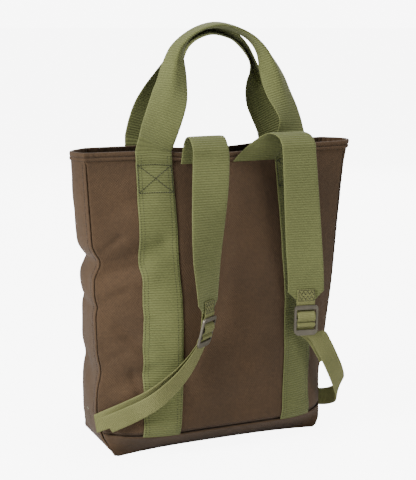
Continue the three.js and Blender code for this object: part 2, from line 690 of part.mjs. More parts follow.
// Heights on a buckle, down from its top edge.
const upperBarZ = -(topBarHeight + tabWindow + barHeight / 2);
const lowerBarZ = upperBarZ - barHeight - threadWindow;
const slotTop = lowerBarZ - barHeight / 2;
const lipTop = slotTop - slotHeight;
const halfBuckle = buckleThickness / 2;
const wrap = Math.hypot(halfBuckle, barHeight / 2) + adjusterThickness / 2 + threadClearance;
const behindBuckle = halfBuckle + adjusterThickness / 2 + seamGap;
const layer = adjusterThickness + seamGap;

// Half a turn of webbing round a bar, from its front to its back, below it (-1) or above it (1).
const roundBar = (barZ, over) => [0, 45, 90, 135, 180].map((degrees) => ({
  y: -wrap * Math.cos(radians(degrees)),
  z: barZ + over * wrap * Math.sin(radians(degrees)),
}));

// The tab's loop down its front leaf, round the upper bar and up its back leaf. knee is a share of the stretch
// between the buckle and the strap, under of the top bar's height, windowFront and windowBack of the tab's
// window, forward of the wrap round a bar, overBar of the bar's height, and back of one layer of webbing.
const tabLoop = {
  knee: 0.6,
  under: 0.5,
  windowFront: 0.42,
  windowBack: 0.4,
  forward: 0.95,
  overBar: 1.3,
  back: 0.4,
};

// The tab: a loop of narrow webbing behind the top bar and round the upper bar, sewn on the strap's two faces.
function tabGeometry(side) {
  const toLeaf = (strapThickness + adjusterThickness) / 2 + seamGap + threadClearance;
  const frontLeaf = strapSetBack - toLeaf;
  const backLeaf = strapSetBack + toLeaf;
  const knee = tabShow * tabLoop.knee;
  const path = [
    { y: frontLeaf, z: tabLength },
    { y: frontLeaf, z: knee },
    { y: behindBuckle, z: 0 },
    { y: behindBuckle, z: -topBarHeight },
    { y: 0, z: -topBarHeight - tabWindow * tabLoop.windowFront },
    { y: -wrap * tabLoop.forward, z: upperBarZ + barHeight * tabLoop.overBar },
    ...roundBar(upperBarZ, -1),
    { y: wrap + layer * tabLoop.back, z: upperBarZ + tabWindow * tabLoop.windowBack },
    { y: backLeaf, z: -topBarHeight * tabLoop.under },
    { y: backLeaf, z: knee },
    { y: backLeaf, z: tabLength },
  ];
  const turn = strapRoutes[side].down.at(-1).turn;
  const keys = path.map(({ y, z }) => webbingKey(fromBuckle(side, y, z), adjusterWidth, turn, 0));
  return ribbonGeometry(ribbonRows(keys, tabSteps), adjusterThickness);
}

// The lip's straight edge and its rounding, as shares of half the buckle's width.
const lipShape = { width: 0.45, roundness: 0.95 };

// The buckle: a plate with three windows, so two bars between its top bar and its lip.
function buckleGeometry() {
  const half = buckleWidth / 2;
  const corner = buckleCornerRadius;
  const lipHalf = half * lipShape.width;
  const lipPull = half * lipShape.roundness;
  const plate = new THREE.Shape();
  plate.moveTo(-half + corner, 0);
  plate.lineTo(half - corner, 0);
  plate.quadraticCurveTo(half, 0, half, -corner);
  const shoulder = lipTop - barHeight / 2;
  plate.lineTo(half, shoulder);
  plate.quadraticCurveTo(lipPull, -buckleHeight, lipHalf, -buckleHeight);
  plate.lineTo(-lipHalf, -buckleHeight);
  plate.quadraticCurveTo(-lipPull, -buckleHeight, -half, shoulder);
  plate.lineTo(-half, -corner);
  plate.quadraticCurveTo(-half, 0, -half + corner, 0);
  const window = (top, bottom) => {
    const side = adjusterWidth / 2 + buckleClearance;
    const hole = new THREE.Path();
    hole.moveTo(-side, top);
    hole.lineTo(-side, bottom);
    hole.lineTo(side, bottom);
    hole.lineTo(side, top);
    plate.holes.push(hole);
  };
  window(-topBarHeight, upperBarZ + barHeight / 2);
  window(upperBarZ - barHeight / 2, lowerBarZ + barHeight / 2);
  window(slotTop, lipTop);
  const solid = { depth: buckleThickness, bevelEnabled: false, curveSegments: 4 };
  const geometry = new THREE.ExtrudeGeometry(plate, solid);
  geometry.deleteAttribute("uv");
  geometry.translate(0, 0, -halfBuckle);
  geometry.rotateX(Math.PI / 2);
  return geometry;
}

// Way of an adjuster through the slot and behind the lip. How far back it lies adds up wraps round a bar, the
// place behind the plate and layers of webbing. How far it lies below the slot's top adds up slots, thicknesses
// of webbing and the lip.
const throughSlot = [
  { wraps: -0.9, behind: 0, layers: 0, slots: 0, webbings: 0.3, lips: 0 },
  { wraps: -0.02, behind: 0, layers: 0, slots: 0.45, webbings: 0, lips: 0 },
  { wraps: 0.9, behind: 0, layers: 0, slots: 1, webbings: -0.2, lips: 0 },
  { wraps: 0, behind: 1, layers: 0, slots: 1, webbings: 0, lips: 1 },
];
const behindLip = [
  { wraps: 1, behind: 0, layers: 0.25, slots: 0, webbings: 0.5, lips: 0 },
  { wraps: 0, behind: 1, layers: 0.95, slots: 1, webbings: 0, lips: 0 },
  { wraps: 0, behind: 1, layers: 1.1, slots: 1, webbings: 0, lips: 1 },
];
const lipHeight = lipTop + buckleHeight - barHeight;

// The adjuster: from the side seam up behind the lip, over the lower bar and down again as a free tail.
function adjusterGeometry(side) {
  const turn = strapRoutes[side].down.at(-1).turn;
  const local = (y, z) => webbingKey(fromBuckle(side, y, z), adjusterWidth, turn, 0);
  const inBuckle = (row) => {
    const y = row.wraps * wrap + row.behind * behindBuckle + row.layers * layer;
    return local(y, slotTop - row.slots * slotHeight - row.webbings * adjusterThickness - row.lips * lipHeight);
  };
  const world = (row) => {
    const middle = inFront(row.x, row.z * rimHeight, row.out);
    return webbingKey(middle, adjusterWidth, row.turn, row.lean);
  };
  const load = adjusterRoutes[side].load.map(world).toReversed();
  const tail = adjusterRoutes[side].tail.map(world);
  const through = throughSlot.map(inBuckle);
  const behind = behindLip.map(inBuckle);
  const overBar = roundBar(lowerBarZ, 1).map(({ y, z }) => local(y, z));
  const keys = side === "left"
    ? [...load, ...behind.toReversed(), ...overBar.toReversed(), ...through, ...tail]
    : [...load, ...through.toReversed(), ...overBar, ...behind, ...tail];
  return ribbonGeometry(ribbonRows(keys, adjusterSteps), adjusterThickness);
}

const canvasColour = 0x6b543e;
const webbingColour = 0x7b7d4e;
const metalColour = 0x8a8470;

function namedMesh(name, geometry, colour, roughness, metalness) {
  const material = new THREE.MeshStandardMaterial({ color: colour, roughness, metalness });
  const mesh = new THREE.Mesh(geometry, material);
  mesh.name = name;
  return mesh;
}

const canvasMesh = (name, geometry) => namedMesh(name, geometry, canvasColour, 0.85, 0);
const webbingMesh = (name, geometry) => namedMesh(name, geometry, webbingColour, 0.75, 0);
const metalMesh = (name, geometry) => namedMesh(name, geometry, metalColour, 0.45, 0.8);

const backpack = new THREE.Group();
backpack.name = "convertible_backpack";
backpack.add(canvasMesh("back_panel", wallGeometry("near", tallRows)));
backpack.add(canvasMesh("front_panel", wallGeometry("far", tallRows)));
backpack.add(canvasMesh("left_gusset", wallGeometry("left", sideRows)));
backpack.add(canvasMesh("right_gusset", wallGeometry("right", sideRows)));
backpack.add(canvasMesh("bottom_panel", bootGeometry()));
backpack.add(canvasMesh("rim_binding", bindingGeometry()));
backpack.add(webbingMesh("back_handle", handleGeometry("near")));
backpack.add(webbingMesh("front_handle", handleGeometry("far")));
for (const side of ["left", "right"]) {
  backpack.add(webbingMesh(`${side}_shoulder_strap`, strapGeometry(side)));
  backpack.add(webbingMesh(`${side}_buckle_tab`, tabGeometry(side)));
  const buckle = metalMesh(`${side}_buckle`, buckleGeometry());
  const { origin, turn, tilt } = bucklePlace(side);
  buckle.position.copy(origin);
  buckle.rotation.set(tilt, 0, turn, "ZYX");
  backpack.add(buckle);
  backpack.add(webbingMesh(`${side}_adjuster`, adjusterGeometry(side)));
}

export default backpack;
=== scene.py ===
import bpy
import bmesh
import math
from functools import lru_cache

import numpy as np
from mathutils import Matrix, Vector

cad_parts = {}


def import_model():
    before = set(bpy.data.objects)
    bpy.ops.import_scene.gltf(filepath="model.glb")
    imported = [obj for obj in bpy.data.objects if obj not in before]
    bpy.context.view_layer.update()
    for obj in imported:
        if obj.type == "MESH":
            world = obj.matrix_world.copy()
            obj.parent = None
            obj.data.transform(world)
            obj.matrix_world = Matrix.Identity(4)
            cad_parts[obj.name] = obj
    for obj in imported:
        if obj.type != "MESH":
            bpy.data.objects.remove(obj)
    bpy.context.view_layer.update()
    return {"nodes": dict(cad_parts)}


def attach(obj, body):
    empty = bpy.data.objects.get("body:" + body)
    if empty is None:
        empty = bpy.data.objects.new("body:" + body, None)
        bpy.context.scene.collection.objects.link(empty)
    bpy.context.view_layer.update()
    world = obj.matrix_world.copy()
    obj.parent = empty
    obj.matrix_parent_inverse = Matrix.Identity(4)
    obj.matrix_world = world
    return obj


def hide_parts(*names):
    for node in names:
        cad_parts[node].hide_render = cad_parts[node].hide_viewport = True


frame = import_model()
print("frame loaded")

mm = 0.001

# form of the bag, in millimetres, the same as in the part

body = {
    "rimHeight": 411, "halfWidth": 192, "depth": 150, "cloth": 1.8, "seamGap": 0.3,
    "bootHeight": 32, "bindingHeight": 11.5, "bindingThickness": 1.3, "bindingLift": 2.6,
    "rimSag": 7, "sagReach": 101, "sagPower": 12, "edgePower": 8,
    "calmBelow": (0.05, 0.14), "calmAbove": (0.9, 0.97), "ripple": 0.75, "fineRipple": 0.3,
}
rimHeight, halfWidth, depth = body["rimHeight"], body["halfWidth"], body["depth"]
bootShare = body["bootHeight"] / rimHeight
bindingShare = 1 - body["bindingHeight"] / rimHeight
wallTopShare = 1 - (body["bindingThickness"] + body["seamGap"]) / rimHeight
seamShare = body["seamGap"] / rimHeight

sectionColumns = (
    "height left right near nearBulge nearPower farLeft farRight far farBulge farPower bow").split()
bodySections = [dict(zip(sectionColumns, row)) for row in [
    (0.0, 0.8, 0.79, -0.5, -0.09, 3, 0.755, 0.79, 0.49, -0.06, 3, 0.0),
    (0.03, 0.855, 0.835, -0.465, 0.1, 4.4, 0.755, 0.82, 0.492, 0.05, 4, 0.02),
    (0.078, 0.9, 0.859, -0.413, 0.313, 5.3, 0.765, 0.85, 0.485, 0.16, 5, 0.04),
    (0.16, 0.94, 0.846, -0.45, 0.335, 3.6, 0.765, 0.87, 0.47, 0.22, 3.6, 0.05),
    (0.35, 0.945, 0.87, -0.493, 0.347, 2.5, 0.775, 0.9, 0.425, 0.22, 2.6, 0.05),
    (0.52, 0.955, 0.92, -0.493, 0.34, 2.3, 0.79, 0.93, 0.345, 0.2, 2.4, 0.06),
    (0.74, 0.975, 0.962, -0.493, 0.233, 2.2, 0.84, 0.96, 0.2, 0.13, 2.3, 0.09),
    (0.9, 0.995, 0.995, -0.493, 0.13, 2.3, 0.87, 0.985, 0.02, 0.06, 2.4, 0.12),
    (1.0, 1.005, 1.018, -0.493, 0.06, 2.5, 0.88, 1.0, -0.085, -0.015, 2.5, 0.13),
]]

seamPinches = {
    "left": [(0.647, 0.034, 0.052), (0.505, 0.02, 0.014), (0.29, 0.045, 0.026)],
    "right": [(0.2, 0.05, 0.012)],
}

# valleys of the cloth: x and height at both ends, width, depth (a minus is a ridge), as shares
clothFolds = {
    "near": [
        (-0.93, 0.62, -0.5, 0.7, 0.035, 0.045), (-0.9, 0.56, -0.62, 0.6, 0.025, -0.02),
        (-0.85, 0.24, -0.6, 0.3, 0.03, 0.032), (-0.8, 0.44, -0.64, 0.36, 0.022, 0.03),
        (0.98, 0.14, 0.82, 0.3, 0.022, 0.03),
        (-0.96, 0.66, -0.78, 0.73, 0.012, 0.02), (-0.97, 0.6, -0.62, 0.64, 0.013, 0.026),
        (-0.95, 0.51, -0.76, 0.56, 0.014, 0.02), (-0.94, 0.31, -0.78, 0.36, 0.015, 0.02),
        (-0.92, 0.2, -0.74, 0.15, 0.016, 0.02), (0.95, 0.36, 0.84, 0.44, 0.016, 0.016),
        (-0.88, 0.5, -0.66, 0.48, 0.016, -0.014), (-0.9, 0.38, -0.7, 0.41, 0.018, 0.016),
        (-0.72, 0.29, -0.64, 0.14, 0.012, 0.016), (-0.86, 0.8, -0.6, 0.86, 0.03, 0.014),
        (-0.45, 0.62, -0.1, 0.52, 0.05, 0.016), (0.05, 0.3, 0.4, 0.42, 0.05, 0.012),
        (-0.2, 0.2, 0.12, 0.26, 0.04, -0.012), (0.1, 0.72, 0.36, 0.64, 0.045, 0.014),
    ],
    "far": [
        (-0.9, 0.62, -0.5, 0.52, 0.04, 0.025), (0.88, 0.45, 0.6, 0.33, 0.035, 0.025),
        (-0.2, 0.7, 0.2, 0.62, 0.05, 0.014), (0.86, 0.7, 0.66, 0.76, 0.03, 0.016),
    ],
    "left": [
        (0.1, 0.66, -0.35, 0.59, 0.032, 0.014), (0.1, 0.53, -0.3, 0.48, 0.03, 0.008),
        (0.0, 0.3, -0.4, 0.22, 0.04, 0.018), (-0.1, 0.8, 0.12, 0.7, 0.03, 0.014),
    ],
    "right": [
        (0.1, 0.6, -0.3, 0.5, 0.03, 0.02), (0.0, 0.3, -0.4, 0.22, 0.035, 0.018),
    ],
}

sideOrder = ["near", "right", "far", "left"]
outward = {
    "near": Vector((0, -1, 0)), "right": Vector((1, 0, 0)),
    "far": Vector((0, 1, 0)), "left": Vector((-1, 0, 0)),
}


def lerp(a, b, t):
    return a + (b - a) * t


def clamp(value, low, high):
    return max(low, min(high, value))


def smoothStep(low, high, value):
    t = clamp((value - low) / (high - low), 0, 1)
    return t * t * (3 - 2 * t)


def bell(value, reach):
    return math.exp(-((value / reach) ** 2))


def smoothColumn(rows, key, column, place):
    i = 0
    while i < len(rows) - 2 and place > rows[i + 1][key]:
        i += 1

    def slope(k):
        a, b = rows[max(k - 1, 0)], rows[min(k + 1, len(rows) - 1)]
        return (b[column] - a[column]) / (b[key] - a[key])

    a, b = rows[i], rows[i + 1]
    span = b[key] - a[key]
    t = (place - a[key]) / span
    rise = b[column] - a[column]
    m0, m1 = slope(i) * span, slope(i + 1) * span
    return a[column] + t * (m0 + t * (3 * rise - 2 * m0 - m1 + t * (m0 + m1 - 2 * rise)))


@lru_cache(maxsize=None)
def sectionAt(share):
    cut = {c: smoothColumn(bodySections, "height", c, share) for c in sectionColumns[1:]}
    for side in ("left", "right"):
        pinch = sum(i * bell(share - h, r) for h, r, i in seamPinches[side])
        sign = -halfWidth if side == "left" else halfWidth
        farSide = "farLeft" if side == "left" else "farRight"
        cut[side] = (cut[side] - pinch) * sign
        cut[farSide] = (cut[farSide] - pinch) * sign
    for name in ("near", "nearBulge", "far", "farBulge", "bow"):
        cut[name] *= depth
    return cut


def foldDepth(side, a, z):
    total = 0.0
    reach = halfWidth if side in ("near", "far") else depth
    for x0, h0, x1, h1, width, dip in clothFolds[side]:
        ax, az = x0 * reach, h0 * rimHeight
        dx, dz = x1 * reach - ax, h1 * rimHeight - az
        t = clamp(((a - ax) * dx + (z - az) * dz) / (dx * dx + dz * dz), 0, 1)
        away = math.hypot(a - ax - t * dx, z - az - t * dz) / (width * rimHeight)
        if away < 3:
            total += dip * depth * math.exp(-away * away)
    return total


def ripple(a, z):
    across = math.sin(a / 23 + 0.7 * math.sin(z / 41))
    up = math.sin(z / 34 + 1.1 * math.sin(a / 37))
    fine = body["fineRipple"] * math.sin(a / 9.1 + z / 13.7) * math.sin(z / 11.3 - a / 17.9)
    return body["ripple"] * across * up + fine


def sagAt(side, s):
    if side not in ("near", "far"):
        return 0
    return body["rimSag"] * max(0, 1 - (abs(s) * halfWidth / body["sagReach"]) ** 2)


@lru_cache(maxsize=None)
def bodyPoint(side, s, share):
    cut = sectionAt(share)
    t = (s + 1) / 2
    z = share * rimHeight - sagAt(side, s) * min(share / bindingShare, 1) ** body["sagPower"]
    edge = 1 - s ** body["edgePower"]
    calm = edge * smoothStep(*body["calmBelow"], share) * (1 - smoothStep(*body["calmAbove"], share))
    if side == "near":
        x = lerp(cut["left"], cut["right"], t)
        y = cut["near"] - cut["nearBulge"] * (1 - abs(s) ** cut["nearPower"])
        return Vector((x, y + foldDepth(side, x, z) * edge + ripple(x, z) * calm, z))
    if side == "far":
        x = lerp(cut["farRight"], cut["farLeft"], t)
        y = cut["far"] + cut["farBulge"] * (1 - abs(s) ** cut["farPower"])
        return Vector((x, y - foldDepth(side, x, z) * calm - ripple(x + 60, z) * calm, z))
    bow = cut["bow"] * math.sin(math.pi * t)
    if side == "right":
        y = lerp(cut["near"], cut["far"], t)
        inward = foldDepth(side, y, z) * calm + ripple(y + 20, z) * calm
        return Vector((lerp(cut["right"], cut["farRight"], t) + bow - inward, y, z))
    y = lerp(cut["far"], cut["near"], t)
    inward = foldDepth(side, y, z) * calm + ripple(y, z) * calm
    return Vector((lerp(cut["farLeft"], cut["left"], t) - bow + inward, y, z))


def wallPoint(side, s, share):
    if share <= bindingShare:
        return bodyPoint(side, s, share)
    t = (share - bindingShare) / (1 - bindingShare)
    return bodyPoint(side, s, bindingShare).lerp(bodyPoint(side, s, 1.0), t)


@lru_cache(maxsize=None)
def wallNormal(side, s, share):
    stepS, stepUp = 0.02, 0.004
    a, b = clamp(s, -1 + stepS, 1 - stepS), clamp(share, stepUp, 1 - stepUp)
    across = bodyPoint(side, a + stepS, b) - bodyPoint(side, a - stepS, b)
    up = bodyPoint(side, a, b + stepUp) - bodyPoint(side, a, b - stepUp)
    return across.cross(up).normalized()


def skinDirection(side, s, share):
    own = wallNormal(side, s, share)
    if abs(s) < 1:
        return own
    nextSide = sideOrder[(sideOrder.index(side) + (1 if s > 0 else 3)) % 4]
    other = wallNormal(nextSide, -s, share)
    return (own + other) / (1 + own.dot(other))


def rimDirection(side, s):
    direction = skinDirection(side, s, (1 + bindingShare) / 2)
    return Vector((direction.x, direction.y, 0))


# materials

def srgb(r, g, b):
    def channel(c):
        c /= 255
        return c / 12.92 if c <= 0.04045 else ((c + 0.055) / 1.055) ** 2.4
    return (channel(r), channel(g), channel(b), 1)


def newGroup(name, inputs, outputs):
    group = bpy.data.node_groups.new(name, "ShaderNodeTree")
    for label, kind, value in inputs:
        socket = group.interface.new_socket(label, in_out="INPUT", socket_type=kind)
        if value is not None:
            socket.default_value = value
    for label, kind in outputs:
        group.interface.new_socket(label, in_out="OUTPUT", socket_type=kind)
    start, end = group.nodes.new("NodeGroupInput"), group.nodes.new("NodeGroupOutput")
    return group, start, end


def mathNode(tree, operation, first, second=None, third=None):
    node = tree.nodes.new("ShaderNodeMath")
    node.operation = operation
    for socket, value in zip(node.inputs, (first, second, third)):
        if value is None:
            continue
        if isinstance(value, (int, float)):
            socket.default_value = value
        else:
            tree.links.new(value, socket)
    return node.outputs[0]


def mixColour(tree, factor, a, b, blend="MIX"):
    node = tree.nodes.new("ShaderNodeMix")
    node.data_type, node.blend_type = "RGBA", blend
    for name, kind, value in (("Factor", "VALUE", factor), ("A", "RGBA", a), ("B", "RGBA", b)):
        socket = next(i for i in node.inputs if i.name == name and i.type == kind)
        if isinstance(value, (int, float, tuple)):
            socket.default_value = value
        else:
            tree.links.new(value, socket)
    return next(o for o in node.outputs if o.type == "RGBA")


# threads over and under each other: Height follows the cloth, Tone is darker between threads
def makeWeaveGroup():
    group, start, end = newGroup(
        "threadWeave",
        [("Vector", "NodeSocketVector", None), ("Warp", "NodeSocketFloat", 900.0),
         ("Weft", "NodeSocketFloat", 900.0), ("Rib", "NodeSocketFloat", 0.0)],
        [("Height", "NodeSocketFloat"), ("Tone", "NodeSocketFloat")])
    split = group.nodes.new("ShaderNodeSeparateXYZ")
    group.links.new(start.outputs["Vector"], split.inputs[0])

    def wave(axis, count):
        spot = mathNode(group, "MULTIPLY", split.outputs[axis], start.outputs[count])
        return mathNode(group, "SINE", mathNode(group, "MULTIPLY", spot, math.pi))

    warp, weft, rib = wave("X", "Warp"), wave("Y", "Weft"), start.outputs["Rib"]
    checker = mathNode(group, "MULTIPLY_ADD", mathNode(group, "MULTIPLY", warp, weft), 0.5, 0.5)
    ribs = mathNode(group, "MULTIPLY", mathNode(group, "ABSOLUTE", weft), rib)
    plain = mathNode(group, "MULTIPLY", checker, mathNode(group, "SUBTRACT", 1.0, rib))
    height = mathNode(group, "ADD", ribs, plain)
    group.links.new(height, end.inputs["Height"])
    group.links.new(mathNode(group, "POWER", height, 0.6), end.inputs["Tone"])
    return group


# slow patches and fine slubs that every cloth here shares
def makeMottleGroup():
    group, start, end = newGroup(
        "clothMottle",
        [("Vector", "NodeSocketVector", None), ("Patches", "NodeSocketFloat", 14.0),
         ("Slubs", "NodeSocketFloat", 420.0)],
        [("Patch", "NodeSocketFloat"), ("Slub", "NodeSocketFloat")])
    for label, detail, scaleName in (("Patch", 4.0, "Patches"), ("Slub", 2.0, "Slubs")):
        noise = group.nodes.new("ShaderNodeTexNoise")
        noise.inputs["Detail"].default_value = detail
        noise.inputs["Roughness"].default_value = 0.6
        group.links.new(start.outputs["Vector"], noise.inputs["Vector"])
        group.links.new(start.outputs[scaleName], noise.inputs["Scale"])
        group.links.new(noise.outputs["Fac"], end.inputs[label])
    return group


weaveGroup = makeWeaveGroup()
mottleGroup = makeMottleGroup()


def startMaterial(name, look):
    material = bpy.data.materials.new(name)
    material.use_nodes = True
    tree = material.node_tree
    shader = tree.nodes["Principled BSDF"]
    shader.inputs["Roughness"].default_value = look["roughness"]
    shader.inputs["Metallic"].default_value = look.get("metallic", 0)
    shader.inputs["Specular IOR Level"].default_value = look.get("specular", 0.3)
    shader.inputs["Sheen Weight"].default_value = look.get("sheen", 0)
    shader.inputs["Sheen Roughness"].default_value = 0.5
    return material, tree, shader


def place(tree, group, **values):
    node = tree.nodes.new("ShaderNodeGroup")
    node.node_tree = group
    for name, value in values.items():
        if isinstance(value, (int, float)):
            node.inputs[name].default_value = value
        else:
            tree.links.new(value, node.inputs[name])
    return node


def bumpNode(tree, height, distance, strength=1.0, normal=None):
    bump = tree.nodes.new("ShaderNodeBump")
    bump.inputs["Distance"].default_value = distance
    bump.inputs["Strength"].default_value = strength
    tree.links.new(height, bump.inputs["Height"])
    if normal is not None:
        tree.links.new(normal, bump.inputs["Normal"])
    return bump.outputs["Normal"]


def uvMap(tree, name):
    node = tree.nodes.new("ShaderNodeUVMap")
    node.uv_map = name
    return node.outputs["UV"]


# patches and slubs over the whole object, at a look's own sizes
def mottleNode(tree, look):
    spot = tree.nodes.new("ShaderNodeTexCoord").outputs["Object"]
    return place(tree, mottleGroup, Vector=spot, Patches=look["patches"], Slubs=look["slubs"])


# a factor that swings by contrast, and is 1 where the value is middle
def contrastNode(tree, value, contrast, middle):
    return mathNode(tree, "MULTIPLY_ADD", value, contrast, 1 - contrast * middle)


def clothMaterial(name, look):
    material, tree, shader = startMaterial(name, look)
    weave = place(tree, weaveGroup, Vector=uvMap(tree, "cloth"),
                  Warp=look["warp"], Weft=look["weft"], Rib=look["rib"])
    mottle = mottleNode(tree, look)
    colour = mixColour(tree, mottle.outputs["Patch"], look["dark"], look["light"])
    slub = contrastNode(tree, mottle.outputs["Slub"], look["slubContrast"], 0.5)
    tone = contrastNode(tree, weave.outputs["Tone"], look["weaveContrast"], 0.7)
    shade = tree.nodes.new("ShaderNodeCombineXYZ")
    total = mathNode(tree, "MULTIPLY", slub, tone)
    for socket in shade.inputs:
        tree.links.new(total, socket)
    colour = mixColour(tree, 1.0, colour, shade.outputs[0], "MULTIPLY")
    split = tree.nodes.new("ShaderNodeSeparateXYZ")  # painted highlight: paler along the edges of each panel, where the rounded edges catch the light
    tree.links.new(uvMap(tree, "panel"), split.inputs[0])
    away = mathNode(tree, "ABSOLUTE", mathNode(tree, "MULTIPLY_ADD", split.outputs["X"], 2.0, -1.0))
    start = look["edgeHighlightFrom"]
    ramp = mathNode(tree, "MULTIPLY_ADD", away, 1 / (1 - start), -start / (1 - start))
    edgeHighlightMask = mathNode(tree, "MULTIPLY", mathNode(tree, "SMOOTH_MAX", 0.0, ramp, 0.05), look["edgeHighlightAmount"])
    colour = mixColour(tree, edgeHighlightMask, colour, look["edge"])
    tree.links.new(colour, shader.inputs["Base Color"])
    normal = bumpNode(tree, weave.outputs["Height"], look["weaveDepth"], 0.8)
    normal = bumpNode(tree, mottle.outputs["Slub"], look["slubDepth"], 0.6, normal)
    tree.links.new(normal, shader.inputs["Normal"])
    return material


# the edge colour is a painted highlight along each panel's edges and along the webbing's selvedges
canvasLook = {
    "light": srgb(92, 70, 48), "dark": srgb(59, 44, 29), "roughness": 0.88, "sheen": 0.08,
    "warp": 620.0, "weft": 560.0, "rib": 0.0, "weaveDepth": 0.0004, "weaveContrast": 0.36,
    "patches": 11.0, "slubs": 240.0, "slubContrast": 0.5, "slubDepth": 0.0003,
    "edge": srgb(120, 97, 72), "edgeHighlightFrom": 0.985, "edgeHighlightAmount": 0.25,
}
webbingLook = {
    "light": srgb(114, 118, 71), "dark": srgb(88, 92, 51), "roughness": 0.82, "sheen": 0.12,
    "warp": 400.0, "weft": 303.0, "rib": 0.7, "weaveDepth": 0.0006, "weaveContrast": 0.5,
    "patches": 16.0, "slubs": 380.0, "slubContrast": 0.3, "slubDepth": 0.0002,
    "edge": srgb(134, 136, 88), "edgeHighlightFrom": 0.96, "edgeHighlightAmount": 0.3,
}
narrowLook = dict(
    webbingLook, light=srgb(134, 134, 86), dark=srgb(104, 105, 62), weft=455.0, edgeHighlightFrom=0.92, sheen=0.05)

canvasMaterial = clothMaterial("brownCanvas", canvasLook)
webbingMaterial = clothMaterial("oliveWebbing", webbingLook)
narrowMaterial = clothMaterial("narrowWebbing", narrowLook)


threadLook = {
    "roughness": 0.7, "sheen": 0.2, "patches": 60.0, "slubs": 1800.0, "slubDepth": 0.0002, "shade": 0.6,
}


def threadMaterial(name, colour):
    material, tree, shader = startMaterial(name, threadLook)
    slub = mottleNode(tree, threadLook).outputs["Slub"]
    darker = tuple(c * threadLook["shade"] for c in colour[:3]) + (1,)
    tree.links.new(mixColour(tree, slub, darker, colour), shader.inputs["Base Color"])
    tree.links.new(bumpNode(tree, slub, threadLook["slubDepth"]), shader.inputs["Normal"])
    return material


threads = {
    "olive": threadMaterial("oliveThread", srgb(62, 66, 32)),
    "dark": threadMaterial("darkThread", srgb(50, 52, 24)),
    "brown": threadMaterial("brownThread", srgb(46, 33, 22)),
    "pale": threadMaterial("paleThread", srgb(196, 198, 170)),
}


def buckleMaterial(name, look):
    material, tree, shader = startMaterial(name, look)
    mottle = mottleNode(tree, look)
    patch = mottle.outputs["Patch"]
    tree.links.new(mixColour(tree, patch, look["dark"], look["light"]), shader.inputs["Base Color"])
    rough = mathNode(tree, "MULTIPLY_ADD", patch, look["roughSpread"], look["roughLow"])
    tree.links.new(rough, shader.inputs["Roughness"])
    tree.links.new(bumpNode(tree, mottle.outputs["Slub"], look["slubDepth"], 0.5), shader.inputs["Normal"])
    return material


greyCoat = buckleMaterial("greyCoat", {
    "light": srgb(118, 112, 98), "dark": srgb(80, 75, 65), "metallic": 0.5, "specular": 0.5, "roughness": 0.4,
    "roughLow": 0.28, "roughSpread": 0.25, "patches": 120.0, "slubs": 2600.0, "slubDepth": 0.0001,
})
print("materials made")


# mesh helpers

def mergeDoubles(bm):
    bmesh.ops.remove_doubles(bm, verts=bm.verts[:], dist=1e-6)


# position, cloth and panel turn a whole-number place of the grid into a point in metres and into UVs
def gridMesh(bm, columns, rows, position, cloth, panel):
    bmesh.ops.create_grid(bm, x_segments=columns, y_segments=rows, size=1)
    clothLayer = bm.loops.layers.uv.new("cloth")
    panelLayer = bm.loops.layers.uv.new("panel")
    places = {v: (round((v.co.x + 1) / 2 * columns), round((v.co.y + 1) / 2 * rows)) for v in bm.verts}
    for face in bm.faces:
        face.smooth = True
        for loop in face.loops:
            loop[clothLayer].uv = cloth(*places[loop.vert])
            loop[panelLayer].uv = panel(*places[loop.vert])
    for v, (i, j) in places.items():
        v.co = position(i, j)
    mergeDoubles(bm)


def newObject(name, data):
    thing = bpy.data.objects.new(name, data)
    bpy.context.scene.collection.objects.link(thing)
    return thing


def finishPiece(name, bm, material, node=None):
    mesh = bpy.data.meshes.new(name)
    bm.to_mesh(mesh)
    bm.free()
    mesh.materials.append(material)
    piece = newObject(name, mesh)
    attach(piece, "root")
    if node:
        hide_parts(node)
    return piece


def thickenCloth(piece):
    modifier = piece.modifiers.new("thickness", "SOLIDIFY")
    modifier.thickness, modifier.offset = body["cloth"] * mm, -1
    modifier.use_even_offset = modifier.use_quality_normals = True


# turns an open sheet over if most of it faces away from a direction
def faceOut(bm, direction):
    bm.normal_update()
    total = sum((f.normal * f.calc_area() for f in bm.faces), Vector())
    if total.dot(direction) < 0:
        bmesh.ops.reverse_faces(bm, faces=bm.faces[:])


# canvas walls

walls = {
    "near": {"piece": "backPanel", "node": "back_panel", "columns": 150, "rows": 150, "flat": (0.395, 0.378)},
    "far": {"piece": "frontPanel", "node": "front_panel", "columns": 110, "rows": 110, "flat": (0.372, 0.395)},
    "left": {"piece": "leftGusset", "node": "left_gusset", "columns": 46, "rows": 160, "flat": (0.125, 0.408)},
    "right": {"piece": "rightGusset", "node": "right_gusset", "columns": 46, "rows": 160, "flat": (0.125, 0.408)},
}
# a wide wall dips at its corner seams, the narrow wall's turned edge stands proud beside it, and the boot's
# turned top edge stands proud of the wide wall, which dips behind it
seams = {
    "dip": 2.5, "dipReach": 2.0, "farDip": 0.45, "setBack": 1.05, "setBackEnd": (0.925, 0.945), "wideReach": 9,
    "proud": 1.1, "proudReach": 3.4, "roundReach": 0.9, "narrowReach": 2, "calmAbove": (0.961, 0.97),
    "pucker": 0.4, "puckerPitch": 11, "puckerReach": 9, "puckerStart": 1.5, "hemDip": 2.7, "hemReach": 2.6,
    "hemProud": 1.2, "hemFade": 6, "hemTurn": 0.8, "hemTuck": 4, "bootWider": 0.6, "bootSetBack": 0.65,
}


def evenedOut(t):
    return lerp(2 * t - 1, math.sin((2 * t - 1) * math.pi / 2), 0.75)


